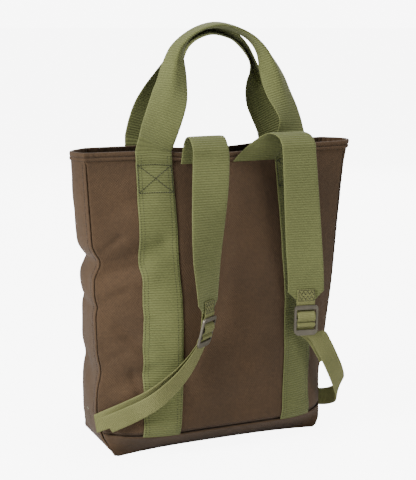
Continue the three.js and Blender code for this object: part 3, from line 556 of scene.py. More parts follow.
# a point of a wall with its corner seams and its hem on the boot
def seamedPoint(side, s, share, inBoot=False):
    cut = sectionAt(share)
    wide = side in ("near", "far")
    width = (cut["right"] - cut["left"]) if wide else (cut["far"] - cut["near"])
    away = (1 - abs(s)) / 2 * abs(width)
    point = wallPoint(side, s, share)
    inner = (wallPoint(side, s * 0.97, share) - point).normalized() if s else Vector()
    normal = wallNormal(side, s, share)
    z = share * rimHeight
    up = z - bootShare * rimHeight
    calm = 1 - smoothStep(*seams["calmAbove"], share)
    low = 1 - smoothStep(-3, 3, up)
    inset = body["seamGap"]
    if wide:
        reach, depthShare = seams["wideReach"], 1 if side == "near" else seams["farDip"]
        if side == "near" and s < 0:  # the one seam that opens a little towards the eye
            end = smoothStep(*seams["setBackEnd"], share)
            inset += seams["setBack"] * (1 - end) * (1 - seams["bootSetBack"] * low)
        dip = seams["dip"] * depthShare * (1 + seams["bootWider"] * low)
        shift = -dip * bell(away, seams["dipReach"])
        if inBoot:
            hem = seams["hemProud"] * bell(up, seams["hemFade"]) * (1 - 1.4 * math.exp(up / seams["hemTurn"]))
            shift += hem * smoothStep(0, 4, away)
        else:
            shift -= seams["hemDip"] * bell(max(up, 0), seams["hemReach"])
    else:
        reach = seams["narrowReach"]
        shift = -seams["proud"] * math.exp(-away / seams["roundReach"])
        lip = seams["proud"] * bell(away, seams["proudReach"]) * calm
        point = point + outward["near" if (s > 0) == (side == "left") else "far"] * lip
    point = point + inner * inset * max(0, 1 - away / reach) ** 2
    swing = math.sin(2 * math.pi * z / seams["puckerPitch"] + 0.8 * math.sin(z / 19))
    pucker = seams["pucker"] * swing * math.exp(-away / seams["puckerReach"])
    pucker *= 1 - math.exp(-away / seams["puckerStart"])
    point = point + normal * (shift * calm + pucker)
    point.z = max(point.z, 0)
    return point


# places across a wall, a little denser at its seams
def wallPlaces(columns):
    return [-1, *(evenedOut(i / columns) for i in range(1, columns)), 1]


def makeWall(side):
    info = walls[side]
    wide = side in ("near", "far")
    low = bootShare - seams["hemTuck"] / rimHeight if wide else (body["cloth"] + body["seamGap"]) / rimHeight
    reach = halfWidth if wide else depth / 2
    shares = [lerp(low, wallTopShare, j / info["rows"]) for j in range(info["rows"] + 1)]
    places = wallPlaces(info["columns"])
    bm = bmesh.new()
    gridMesh(bm, info["columns"], info["rows"],
             lambda i, j: seamedPoint(side, places[i], shares[j]) * mm,
             lambda i, j: (places[i] * reach * mm, shares[j] * rimHeight * mm),
             lambda i, j: ((places[i] + 1) / 2, shares[j]))
    faceOut(bm, outward[side])
    piece = finishPiece(info["piece"], bm, canvasMaterial, info["node"])
    thickenCloth(piece)


for side in sideOrder:
    makeWall(side)
print("walls made")


# boot

boot = {
    "columns": 150, "flapRows": 24, "floorRows": 40, "flapEase": 1.25,
    "clothLength": 0.23, "flat": (0.32, 0.215),
}


def makeBoot():
    columns, flap, floor = boot["columns"], boot["flapRows"], boot["floorRows"]
    rows = 2 * flap + floor
    places = wallPlaces(columns)
    top = bootShare - seamShare

    def flapShare(step):
        return top * (1 - (1 - step / flap) ** boot["flapEase"])

    def position(i, j):
        s = places[i]
        if j <= flap:
            return seamedPoint("near", s, flapShare(flap - j), True) * mm
        if j >= flap + floor:
            return seamedPoint("far", -s, flapShare(j - flap - floor), True) * mm
        return seamedPoint("near", s, 0, True).lerp(seamedPoint("far", -s, 0, True), (j - flap) / floor) * mm

    bm = bmesh.new()
    gridMesh(bm, columns, rows, position,
             lambda i, j: (places[i] * halfWidth * mm, j / rows * boot["clothLength"]),
             lambda i, j: ((places[i] + 1) / 2, 0.5))
    faceOut(bm, Vector((0, 0, -1)))
    piece = finishPiece("bottomPanel", bm, canvasMaterial, "bottom_panel")
    thickenCloth(piece)


makeBoot()


# rim binding

rim = {
    "stations": {"near": 190, "right": 40, "far": 190, "left": 40}, "groove": 5,
    "pucker": 0.26, "puckerPitch": 8.5, "gather": 3.6, "gatherFrom": (0.8, 0.95),
    "foldSteps": 8, "foldReach": 0.6, "foldSetDown": 0.62, "uvStep": 1.6,
}


def ringStations(counts):
    return [(side, evenedOut(k / counts[side]) if k else -1) for side in sideOrder for k in range(counts[side])]


# height is measured up from the binding's lower edge, and offset out from the wall's face
def bindingPoint(side, s, height, offset):
    share = bindingShare + height / rimHeight
    return wallPoint(side, s, share) + rimDirection(side, s) * offset


def makeBinding():
    stations = ringStations(rim["stations"])
    thick, gap, tall = body["bindingThickness"], body["seamGap"], body["bindingHeight"]
    inWall = -body["cloth"] - gap
    outer, inner = gap + thick, inWall - thick
    middle, radius = (outer + inner) / 2, (outer - inner) / 2
    # up the wall's outer face, over its edge, down its inner face, then up and over on the binding's own face
    profile = [(0.25, outer - 0.15), (0.0, outer - 0.6), (0.25, gap + 0.1), (3, gap), (tall - thick - 1, gap),
               (tall - thick, gap - 0.5), (tall - thick, inWall + 0.5), (tall - thick - 1, inWall), (3, inWall),
               (0.25, inWall - 0.1), (0.0, inner + 0.6), (0.25, inner + 0.15), (2.2, inner), (6, inner + 0.1)]
    for k in range(rim["foldSteps"] + 1):
        angle = math.pi * k / rim["foldSteps"]
        height = tall - radius * rim["foldSetDown"] + radius * rim["foldReach"] * math.sin(angle)
        profile.append((height, middle - radius * math.cos(angle)))
    profile += [(7.4, outer + 0.2), (6.2, outer - 0.05), (5.5, outer - 0.9), (4.5, outer - 0.95),
                (3.8, outer + 0.05), (2.2, outer + 0.3), (0.8, outer + 0.1)]
    line = [bindingPoint(side, s, rim["groove"], 0) for side, s in stations]
    length = [0.0]
    for a, b in zip(line, line[1:] + line[:1]):
        length.append(length[-1] + (a - b).length)

    def position(i, j):
        side, s = stations[i % len(stations)]
        height, offset = profile[j % len(profile)]
        a = length[i % len(stations)]
        loose = side in ("far", "right") or offset < middle
        across = line[i % len(stations)].x / halfWidth
        gather = 1 + rim["gather"] * smoothStep(*rim["gatherFrom"], across) * loose
        swing = math.sin(2 * math.pi * a / rim["puckerPitch"] + math.sin(a / 23))
        wave = rim["pucker"] * gather * swing * (height > 0.5)
        return bindingPoint(side, s, height, offset + (1 if offset > middle else -1) * wave * 0.6) * mm

    bm = bmesh.new()
    gridMesh(bm, len(stations), len(profile), position,
             lambda i, j: (length[i] * mm, j * rim["uvStep"] * mm), lambda i, j: (0.5, j / len(profile)))
    bmesh.ops.recalc_face_normals(bm, faces=bm.faces[:])
    finishPiece("rimBinding", bm, canvasMaterial, "rim_binding")


makeBinding()
print("boot and rim made")


# ribbons of webbing

# a point at t from 0 to 1 on a smooth curve through evenly numbered keys
def curvePoint(points, t):
    place = clamp(t, 0, 1) * (len(points) - 1)
    i = min(int(place), len(points) - 2)
    w = place - i
    p1, p2 = points[i], points[i + 1]
    p0 = points[i - 1] if i > 0 else p1 * 2 - p2
    p3 = points[i + 2] if i + 2 < len(points) else p2 * 2 - p1
    m0, m1 = (p2 - p0) * 0.5, (p3 - p1) * 0.5
    return p1 + m0 * w + (p1 * -3 + p2 * 3 - m0 * 2 - m1) * w ** 2 + (p1 * 2 - p2 * 2 + m0 + m1) * w ** 3


def curveTangent(points, t):
    step = 1e-4
    return (curvePoint(points, min(t + step, 1)) - curvePoint(points, max(t - step, 0))).normalized()


acrossPlaces = [-1 + k / 4 for k in range(9)]


# keys are (middle, half width vector, fold in degrees), and the rows are (point, normal) over the width
def ribbonRows(keys, steps):
    middles, reaches = [k[0] for k in keys], [k[1] for k in keys]
    folds = [{"place": n, "fold": k[2]} for n, k in enumerate(keys)]
    rows = []
    for step in range(steps + 1):
        t = step / steps
        centre, tangent = curvePoint(middles, t), curveTangent(middles, t)
        half = curvePoint(reaches, t)
        width, side = half.length, half.normalized()
        normal = side.cross(tangent).normalized()
        fold = math.radians(clamp(smoothColumn(folds, "place", "fold", t * (len(keys) - 1)), 0, 82))
        row = []
        for s in acrossPlaces:
            soft = math.sqrt(s * s + 0.012) - math.sqrt(0.012)
            flank = clamp(s / 0.25, -1, 1)
            point = centre + side * (s * width * math.cos(fold)) - normal * (soft * width * math.sin(fold))
            direction = normal * lerp(1, math.cos(fold), abs(flank)) + side * (flank * math.sin(fold))
            row.append((point, direction.normalized()))
        rows.append(row)
    return rows


# values of an array at places between its rows
def alongRows(values, places):
    i = np.clip(places.astype(int), 0, len(values) - 2)
    w = (places - i).reshape((-1,) + (1,) * (values.ndim - 1))
    p1, p2 = values[i], values[i + 1]
    p0 = np.where((i > 0).reshape(w.shape), values[np.maximum(i - 1, 0)], 2 * p1 - p2)
    after = values[np.minimum(i + 2, len(values) - 1)]
    p3 = np.where((i + 2 < len(values)).reshape(w.shape), after, 2 * p2 - p1)
    m0, m1 = (p2 - p0) * 0.5, (p3 - p1) * 0.5
    return p1 + m0 * w + (3 * (p2 - p1) - 2 * m0 - m1) * w ** 2 + (2 * (p1 - p2) + m0 + m1) * w ** 3


# a band of webbing through rows of (point, normal), read by the length along it
class Ribbon:
    def __init__(self, rows):
        self.points = np.array([[tuple(p) for p, _ in row] for row in rows])
        self.normals = np.array([[tuple(n) for _, n in row] for row in rows])
        middle = self.points[:, 4]
        self.lengths = np.concatenate([[0], np.cumsum(np.linalg.norm(np.diff(middle, axis=0), axis=1))])
        self.total = self.lengths[-1]

    def at(self, alongs, places):
        rows = np.interp(alongs, self.lengths, np.arange(len(self.lengths)))
        out = []
        for values in (self.points, self.normals):
            resampled = alongRows(values, rows)
            turned = np.swapaxes(resampled, 0, 1)
            out.append(np.swapaxes(alongRows(turned, (np.asarray(places) + 1) * 4), 0, 1))
        normals = out[1] / np.linalg.norm(out[1], axis=2, keepdims=True)
        return out[0], normals

    def spot(self, along, place, lift):
        points, normals = self.at(np.array([along]), [place])
        return Vector(points[0, 0] + normals[0, 0] * lift), Vector(normals[0, 0])


def makeRibbon(name, ribbon, look, material, node):
    across, perRib = look["across"], look["perRib"]
    steps = max(2, round(ribbon.total / look["ribPitch"])) * perRib
    alongs = np.linspace(0, ribbon.total, steps + 1)
    places = np.sin(np.linspace(-math.pi / 2, math.pi / 2, across + 1))
    points, normals = ribbon.at(alongs, places)
    wave = np.cos(2 * math.pi * np.arange(steps + 1) / perRib)[:, None]
    ridge = look["ribHeight"] * wave * (1 - np.abs(places) ** 6)[None, :]
    bead = look["selvedge"] * np.exp(-(((1 - np.abs(places)) / 0.06) ** 2))[None, :]
    flat = look["thickness"] / 2 * np.sqrt(np.clip(1 - np.abs(places) ** 14, 0.02, 1))[None, :]
    half = flat + ridge + bead * (np.abs(places) < 0.999)
    top = points + normals * half[..., None]
    under = points - normals * half[..., None]
    ring = np.concatenate([top, under[:, ::-1]], axis=1)
    size = ring.shape[1]
    ringPlaces = np.concatenate([places, places[::-1]])
    wide = np.linalg.norm(points[0, -1] - points[0, 0])

    bm = bmesh.new()
    gridMesh(bm, steps, size,
             lambda i, j: Vector(ring[i, j % size]) * mm,
             lambda i, j: (ringPlaces[j % size] * wide / 2 * mm, (i / perRib + 0.5) * look["ribPitch"] * mm),
             lambda i, j: ((ringPlaces[j % size] + 1) / 2, i / steps))
    bmesh.ops.holes_fill(bm, edges=[e for e in bm.edges if e.is_boundary], sides=0)
    bmesh.ops.triangulate(bm, faces=[f for f in bm.faces if len(f.verts) > 4])
    bmesh.ops.recalc_face_normals(bm, faces=bm.faces[:])
    finishPiece(name, bm, material, node)


# handles

handles = {
    "width": 50, "spacing": 202, "rise": 164, "shift": {"near": 0, "far": 14}, "lean": {"near": 23, "far": 1},
    "lift": 0.35, "overGap": 0.3, "wallSteps": 46, "steps": 90,
    "ribbon": {"thickness": 1.8, "across": 16, "perRib": 4, "ribPitch": 3.3, "ribHeight": 0.22, "selvedge": 0.06},
}
# along and rise as shares, out as a share of the lean, turn and fold in degrees
handleArches = {
    "near": [
        (-0.975, 0.05, 0.09, -2, 0), (-0.915, 0.13, 0.24, -10, 0), (-0.82, 0.25, 0.44, -18, 3),
        (-0.725, 0.39, 0.62, -21, 12), (-0.655, 0.53, 0.8, -21, 34), (-0.605, 0.67, 0.91, -20, 50),
        (-0.52, 0.795, 0.98, -16, 65), (-0.36, 0.89, 1, -8, 78), (-0.16, 0.95, 1, -2, 81),
        (0.04, 0.975, 1, 0, 81), (0.23, 0.965, 1, 0, 81), (0.43, 0.925, 1, 0, 81),
        (0.6, 0.865, 0.98, 0, 80), (0.74, 0.775, 0.93, 2, 73), (0.83, 0.665, 0.84, 6, 56),
        (0.9, 0.545, 0.73, 12, 38), (0.95, 0.42, 0.58, 20, 22), (1.0, 0.3, 0.4, 26, 8),
        (1.025, 0.18, 0.22, 24, 0), (1.01, 0.05, 0.07, 6, 0),
    ],
    "far": [
        (-1.0, 0.05, 0.1, 0, 0), (-0.965, 0.13, 0.3, 0, 0), (-0.885, 0.235, 0.5, 0, 0),
        (-0.805, 0.34, 0.7, -4, 6), (-0.75, 0.44, 0.85, -12, 26), (-0.71, 0.525, 1, -20, 50),
        (-0.68, 0.6, 1, -25, 70), (-0.61, 0.69, 1, -20, 80), (-0.477, 0.785, 1, -8, 80),
        (-0.33, 0.86, 1, 0, 78), (-0.16, 0.91, 1, 0, 76), (0.03, 0.932, 1, 0, 76),
        (0.2, 0.915, 1, 0, 76), (0.37, 0.865, 1, 0, 75), (0.5, 0.79, 1, 0, 70), (0.6, 0.68, 1, 0, 58),
        (0.69, 0.55, 0.9, 2, 38), (0.79, 0.42, 0.8, 4, 18), (0.89, 0.29, 0.6, 4, 4),
        (0.96, 0.16, 0.4, 2, 0), (1.0, 0.05, 0.1, 0, 0),
    ],
}


def webbingRow(side, x, share, lift):
    cut = sectionAt(share)
    low, high = (cut["left"], cut["right"]) if side == "near" else (cut["farLeft"], cut["farRight"])
    sign = 1 if side == "near" else -1
    row = []
    for across in acrossPlaces:
        spot = x + sign * across * handles["width"] / 2
        s = sign * (2 * (spot - low) / (high - low) - 1)
        direction = wallNormal(side, s, share) if share < bindingShare else rimDirection(side, s).normalized()
        middle = wallPoint(side, s, share) + direction * (lift + handles["ribbon"]["thickness"] / 2)
        row.append((middle, direction))
    return row


def handleRibbon(side):
    sign = 1 if side == "near" else -1
    shift, lean, arch = handles["shift"][side], handles["lean"][side], handleArches[side]
    half, lift = handles["spacing"] / 2, handles["lift"]
    overBinding = lift + body["bindingThickness"] + body["seamGap"] + handles["overGap"]
    steps = handles["wallSteps"]
    wallShares = [lerp(bootShare + seamShare, bindingShare - 0.02, k / steps) for k in range(steps + 1)]

    def wallRows(x):
        rows = [webbingRow(side, x, share, lift) for share in wallShares]
        for share, lifted in ((bindingShare - 0.006, overBinding * 0.75), (bindingShare, overBinding),
                              ((1 + bindingShare) / 2, overBinding + 0.1), (1.0, overBinding)):
            rows.append(webbingRow(side, x, share, lifted))
        return rows

    edges = (-handles["width"] / 2, handles["width"] / 2)
    reach = max(-sign * wallPoint(side, (edge - half) / halfWidth, 1.0).y for edge in edges)
    base = -sign * (reach + body["bindingLift"] + handles["ribbon"]["thickness"])
    top = handles["rise"]
    middles = [Vector((shift + sign * along * half, base + sign * out * lean, rimHeight + rise * top))
               for along, rise, out, _, _ in arch]
    keys = []
    for k, (along, rise, out, turn, fold) in enumerate(arch):
        angle = math.radians(turn)
        facing = Vector((sign * math.sin(angle), -sign * math.cos(angle), 0))
        across = curveTangent(middles, k / (len(middles) - 1)).cross(facing).normalized()
        keys.append((middles[k], across * handles["width"] / 2, fold))
    free = ribbonRows(keys, handles["steps"])
    up = wallRows(shift - sign * half)
    down = [row[::-1] for row in wallRows(shift + sign * half)[::-1]]
    return Ribbon(up + free + down), len(up), len(free)


handleRibbons = {}
for side, name, node in (("near", "backHandle", "back_handle"), ("far", "frontHandle", "front_handle")):
    ribbon, upCount, freeCount = handleRibbon(side)
    handleRibbons[side] = (ribbon, ribbon.lengths[upCount - 1], ribbon.lengths[upCount + freeCount])
    makeRibbon(name, ribbon, handles["ribbon"], webbingMaterial, node)
print("handles made")


# shoulder straps, tabs, buckles and adjusters

straps = {
    "width": 51, "thickness": 2, "endHeight": 204, "seamBelowRim": 19, "crestAboveRim": 18, "taper": 12,
    "tabShow": 7, "setBack": 3.4, "narrow": 25, "narrowThickness": 1.5, "tabLength": 22, "tipSpare": 2,
    "ribbon": {"thickness": 2.0, "across": 16, "perRib": 4, "ribPitch": 3.3, "ribHeight": 0.22, "selvedge": 0.06},
    "narrowRibbon": {
        "thickness": 1.5, "across": 12, "perRib": 4, "ribPitch": 2.2, "ribHeight": 0.12, "selvedge": 0.05,
    },
}
strapRoutes = {
    "left": {
        "buckleTilt": 15,
        "over": [(-0.19, -1.0, 0, 1.1), (-0.19, -0.3, 0.02, 1.08), (-0.195, 0.5, 0.055, 1.04),
                 (-0.2, 0.95, 0.11, 1), (-0.2, 0.85, 0.18, 1), (-0.2, 0.2, 0.24, 1)],
        "down": [(-0.2, 0.06, 0.355, -4), (-0.222, 0.25, 0.4, -2), (-0.25, 0.47, 0.44, 8),
                 (-0.27, 0.7, 0.465, 20), (-0.268, 0.88, 0.47, 30), (-0.266, 1.0, 0.47, 36)],
    },
    "right": {
        "buckleTilt": 4,
        "over": [(0.225, -1.0, 0, 1.22), (0.275, -0.3, 0.035, 1.2), (0.355, 0.5, 0.065, 1.12),
                 (0.42, 0.98, 0.11, 1.03), (0.465, 0.8, 0.18, 1), (0.477, 0.2, 0.24, 1)],
        "down": [(0.48, 0.06, 0.355, 0), (0.484, 0.25, 0.38, -3), (0.49, 0.47, 0.4, -8),
                 (0.498, 0.7, 0.42, -12), (0.512, 0.88, 0.42, -12), (0.515, 1.0, 0.42, -12)],
    },
}
adjusterRoutes = {
    "left": {
        "load": [(-0.375, 0.332, 0.4, 34, 30), (-0.48, 0.283, 0.4, 26, 44), (-0.62, 0.226, 0.345, 8, 49),
                 (-0.745, 0.182, 0.235, -16, 50), (-0.875, 0.144, 0.135, -38, 62),
                 (-0.955, 0.122, 0.07, -44, 80)],
        "tail": [(-0.38, 0.325, 0.425, 34, 30), (-0.485, 0.273, 0.44, 26, 45),
                 (-0.625, 0.213, 0.4, 8, 52), (-0.75, 0.168, 0.29, -12, 55),
                 (-0.895, 0.125, 0.165, -26, 57)],
    },
    "right": {
        "load": [(0.605, 0.375, 0.42, -10, -20), (0.67, 0.335, 0.405, -8, -32),
                 (0.745, 0.282, 0.375, -5, -34), (0.833, 0.219, 0.32, 0, -34),
                 (0.9, 0.168, 0.245, 14, -40), (0.943, 0.123, 0.13, 55, -62),
                 (0.93, 0.097, 0.01, 115, -84), (0.876, 0.09, -0.07, 130, -90)],
        "tail": [(0.605, 0.365, 0.385, -10, -22), (0.67, 0.325, 0.375, -8, -32),
                 (0.73, 0.285, 0.35, -6, -34)],
    },
}
buckle = {
    "width": 36.5, "height": 42, "thickness": 2.6, "topBar": 5.5, "bar": 2.5, "tabWindow": 12.5,
    "threadWindow": 5.4, "slot": 6, "threadClearance": 0.15, "slim": 1.5, "slimReach": 3, "round": 0.7,
}


def webbingKey(middle, width, turn, lean):
    turn, lean = math.radians(turn), math.radians(lean)
    reach = Vector((math.cos(turn) * math.cos(lean), math.sin(turn) * math.cos(lean), -math.sin(lean)))
    return middle, reach * (width / 2), 0


def inFront(x, z, out):
    return Vector((x * halfWidth, sectionAt(min(z / rimHeight, 1.0))["near"] - out * depth, z))


strapFaceY = bodyPoint("near", 0.0, bindingShare).y - body["bindingLift"] - straps["thickness"] / 2


def strapKeys(side):
    keys = []
    for x, rise, out, spread in strapRoutes[side]["over"]:
        reach = straps["seamBelowRim"] if rise < 0 else straps["crestAboveRim"]
        middle = Vector((x * halfWidth, strapFaceY - out * depth, rimHeight + rise * reach))
        keys.append(webbingKey(middle, straps["width"] * spread, 0, 0))
    run = rimHeight - straps["endHeight"] - straps["taper"]
    for x, drop, out, turn in strapRoutes[side]["down"]:
        keys.append(webbingKey(inFront(x, rimHeight - drop * run, out), straps["width"], turn, 0))
    return keys


def strapRibbon(side):
    rows = ribbonRows(strapKeys(side), 70)
    x, drop, out, turn = strapRoutes[side]["down"][-1]
    y = strapKeys(side)[-1][0].y
    last = rows[-1]
    tipAt = Vector((x * halfWidth, y, straps["endHeight"]))
    tip, reach, _ = webbingKey(tipAt, straps["narrow"] + straps["tipSpare"], turn, 0)
    for share in (0.25, 0.5, 0.75, 1.0):
        rows.append([(p.lerp(tip + reach * s, share), n) for (p, n), s in zip(last, acrossPlaces)])
    return Ribbon(rows)


def bucklePlace(side):
    turn = math.radians(strapRoutes[side]["down"][-1][3])
    back = Vector((-math.sin(turn), math.cos(turn), 0))
    origin = strapKeys(side)[-1][0] - back * straps["setBack"]
    origin.z = straps["endHeight"] - straps["tabShow"]
    return origin, turn, math.radians(strapRoutes[side]["buckleTilt"])


def fromBuckle(side, y, z):
    origin, turn, tilt = bucklePlace(side)
    point = Vector((0, y, z))
    if z < 0:
        point = Matrix.Rotation(tilt, 3, "X") @ point
    return Matrix.Rotation(turn, 3, "Z") @ point + origin


upperBarZ = -(buckle["topBar"] + buckle["tabWindow"] + buckle["bar"] / 2)
lowerBarZ = upperBarZ - buckle["bar"] - buckle["threadWindow"]
slotTop = lowerBarZ - buckle["bar"] / 2
lipTop = slotTop - buckle["slot"]
halfBuckle = buckle["thickness"] / 2
wrap = math.hypot(halfBuckle, buckle["bar"] / 2) + straps["narrowThickness"] / 2 + buckle["threadClearance"]
behindBuckle = halfBuckle + straps["narrowThickness"] / 2 + body["seamGap"]
layer = straps["narrowThickness"] + body["seamGap"]


def roundBar(barZ, over):
    angles = (math.radians(a) for a in (0, 45, 90, 135, 180))
    return [(-wrap * math.cos(a), barZ + over * wrap * math.sin(a)) for a in angles]


def tabRibbon(side):
    toLeaf = (straps["thickness"] + straps["narrowThickness"]) / 2 + body["seamGap"] + buckle["threadClearance"]
    front, back = straps["setBack"] - toLeaf, straps["setBack"] + toLeaf
    show, long = straps["tabShow"], straps["tabLength"]
    path = [
        (front, long), (front, show * 0.6), (behindBuckle, 0), (behindBuckle * 1.9, -buckle["topBar"] - 2.4),
        (-wrap * 0.3, -buckle["topBar"] - buckle["tabWindow"] * 0.38),
        (-wrap * 1.25, upperBarZ + buckle["bar"] * 1.5), *roundBar(upperBarZ, -1),
        (wrap + layer * 0.4, upperBarZ + buckle["tabWindow"] * 0.4),
        (back, -buckle["topBar"] * 0.5), (back, show * 0.6), (back, long),
    ]
    turn = strapRoutes[side]["down"][-1][3]
    keys = [webbingKey(fromBuckle(side, y, z), straps["narrow"], turn, 0) for y, z in path]
    return Ribbon(ribbonRows(keys, 90))


def adjusterRibbon(side):
    turn = strapRoutes[side]["down"][-1][3]

    def local(y, z):
        return webbingKey(fromBuckle(side, y, z), straps["narrow"], turn, 0)

    def world(row):
        x, z, out, rowTurn, lean = row
        return webbingKey(inFront(x, z * rimHeight, out), straps["narrow"], rowTurn, lean)

    load = [world(row) for row in adjusterRoutes[side]["load"]]
    tail = [world(row) for row in adjusterRoutes[side]["tail"]]
    overBar = [local(y, z) for y, z in roundBar(lowerBarZ, 1)]
    height, bar, thin = buckle["height"], buckle["bar"], straps["narrowThickness"]
    throughSlot = [local(-wrap * 0.85, slotTop - thin * 0.1), local(0, slotTop - buckle["slot"] * 0.28),
                   local(wrap * 0.95, slotTop - buckle["slot"] * 0.6), local(behindBuckle, -height + bar)]
    behind = [local(wrap + layer * 0.25, slotTop - thin * 0.5), local(behindBuckle + layer * 0.95, lipTop),
              local(behindBuckle + layer * 1.1, -height + bar)]
    if side == "left":
        keys = load[::-1] + behind[::-1] + overBar[::-1] + throughSlot + tail
    else:
        keys = load[::-1] + throughSlot[::-1] + overBar + behind + tail
    return Ribbon(ribbonRows(keys, 150))


def makeBuckle(side):
    bm = bmesh.new()
    bm.from_mesh(frame["nodes"][f"{side}_buckle"].data)
    origin, turn, tilt = bucklePlace(side)
    toLocal = (Matrix.Rotation(turn, 3, "Z") @ Matrix.Rotation(tilt, 3, "X")).inverted()
    sideWays = Matrix.Rotation(turn, 3, "Z") @ Vector((1, 0, 0))
    for v in bm.verts:  # slimmer side bars, and a lip a little narrower than the frame
        x = (toLocal @ (v.co / mm - origin)).x
        if abs(x) > buckle["width"] / 2 - buckle["slimReach"]:
            v.co -= sideWays * math.copysign(buckle["slim"] * mm, x)
    mergeDoubles(bm)
    bmesh.ops.dissolve_limit(bm, angle_limit=math.radians(1), verts=bm.verts[:], edges=bm.edges[:])
    sharp = [e for e in bm.edges if e.is_manifold and e.calc_face_angle() > math.radians(40)]
    bmesh.ops.bevel(bm, geom=sharp, offset=buckle["round"] * mm, affect="EDGES", segments=3, profile=0.5,
                    material=-1, clamp_overlap=True)
    for face in bm.faces:
        face.smooth = True
    bmesh.ops.triangulate(bm, faces=bm.faces[:])
    bm.loops.layers.uv.new("cloth")
    finishPiece(f"{side}Buckle", bm, greyCoat, f"{side}_buckle")


strapRibbons, tabRibbons, adjusterRibbons = {}, {}, {}
for side in ("left", "right"):
    strapRibbons[side] = strapRibbon(side)
    tabRibbons[side] = tabRibbon(side)
    adjusterRibbons[side] = adjusterRibbon(side)
    for part, node, made, look, material in (
            ("ShoulderStrap", "shoulder_strap", strapRibbons, "ribbon", webbingMaterial),
            ("BuckleTab", "buckle_tab", tabRibbons, "narrowRibbon", narrowMaterial),
            ("Adjuster", "adjuster", adjusterRibbons, "narrowRibbon", narrowMaterial)):
        makeRibbon(f"{side}{part}", made[side], straps[look], material, f"{side}_{node}")
    makeBuckle(side)
print("straps made")


# stitching

stitch = {"pitch": 3.4, "length": 2.5, "width": 0.75, "height": 0.4}
sideStitch = {"pitch": 3.2, "length": 2.8, "width": 1.2, "height": 0.6}
boldStitch = {"pitch": 3.2, "length": 2.8, "width": 1.4, "height": 0.6}
tabStitch = {"pitch": 2.4, "length": 2.2, "width": 1.1, "height": 0.6}
handleSeams = {
    "lines": (-0.9, -0.72, 0.72, 0.9), "fromEnd": 3, "fromArch": 4, "box": (18.5, 55), "boxReach": 0.92,
    "lift": 0.16, "boxLift": 0.1,
}
canvasSeams = {
    "binding": ((0.85, 1), (-3.5, -1)), "stations": {"near": 120, "right": 20, "far": 90, "left": 20},
    "besideHem": 4.5, "hemEnd": 0.985, "hemLift": 0.12,
    "side": 0.88, "sideEnds": (0.02, 0.962), "sideLift": 0.15,
}
tabSeams = {
    "zigzags": ((2.5, 7.5), (9, 14)), "teeth": 7, "reach": 0.78,
    "box": (1.2, 15.5), "boxReach": 0.88, "lift": 0.2,
}

def addStitch(bm, at, along, normal, size=stitch):
    across = normal.cross(along).normalized()
    turn = Matrix((along.normalized(), across, normal.normalized())).transposed().to_4x4()
    scale = Matrix.Diagonal((size["length"] / 2 * mm, size["width"] / 2 * mm, size["height"] / 2 * mm, 1))
    bmesh.ops.create_uvsphere(bm, u_segments=6, v_segments=4, radius=1,
                              matrix=Matrix.Translation(at * mm) @ turn @ scale)


# spots are (point, normal) along a seam, and the stitches are set at an even pitch
def stitchPath(bm, spots, size=stitch):
    carried = size["pitch"] / 2
    line = bmesh.new()  # a short line in its own mesh, because operators slow down in a full one
    count = 0

    def pour():
        holder = bpy.data.meshes.new("stitchLine")
        for face in line.faces:
            face.smooth = True
        line.to_mesh(holder)
        bm.from_mesh(holder)
        bpy.data.meshes.remove(holder)
        line.clear()

    for (a, n), (b, _) in zip(spots, spots[1:]):
        step = (b - a).length
        while carried < step:
            addStitch(line, a.lerp(b, carried / step), (b - a).normalized(), n, size)
            carried += size["pitch"]
            count += 1
            if count % 40 == 0:
                pour()
        carried -= step
    pour()
    line.free()


def ribbonLine(ribbon, start, end, across, lift, count=160):
    alongs = np.linspace(start, end, count)
    points, normals = ribbon.at(alongs, [across])
    return [(Vector(p[0]) + Vector(n[0]) * lift, Vector(n[0])) for p, n in zip(points, normals)]


# straight strokes over a ribbon between (along, place) corners
def ribbonStrokes(ribbon, corners, lift, count=24):
    spots = []
    for (a0, s0), (a1, s1) in zip(corners, corners[1:]):
        for t in (k / (count - 1) for k in range(count)):
            spots.append(ribbon.spot(lerp(a0, a1, t), lerp(s0, s1, t), lift))
    return spots


# a line on a wall between two (place, share) ends
def wallLine(side, start, end, lift, steps=120):
    spots = []
    for k in range(steps + 1):
        s, share = (lerp(a, b, k / steps) for a, b in zip(start, end))
        normal = wallNormal(side, s, share)
        spots.append((wallPoint(side, s, share) + normal * lift, normal))
    return spots


def makeHandleStitching(side, name):
    ribbon, up, down = handleRibbons[side]
    info = handleSeams
    lift = handles["ribbon"]["thickness"] / 2 + info["lift"]
    bm = bmesh.new()
    fromEnd, fromArch = info["fromEnd"], info["fromArch"]
    for start, end in ((fromEnd, up - fromArch), (down + fromArch, ribbon.total - fromEnd)):
        for across in info["lines"]:
            stitchPath(bm, ribbonLine(ribbon, start, end, across, lift))
    finishPiece(f"{name}Stitching", bm, threads["olive"])
    bm = bmesh.new()
    reach, (first, last) = info["boxReach"], info["box"]
    for near, far in ((up - first, up - last), (down + first, down + last)):
        box = [(near, -reach), (near, reach), (far, reach), (far, -reach), (near, -reach), (far, reach)]
        for corners in (box, [(near, reach), (far, -reach)]):
            stitchPath(bm, ribbonStrokes(ribbon, corners, lift + info["boxLift"]), boldStitch)
    finishPiece(f"{name}BoxStitching", bm, threads["dark"])


makeHandleStitching("near", "backHandle")
makeHandleStitching("far", "frontHandle")


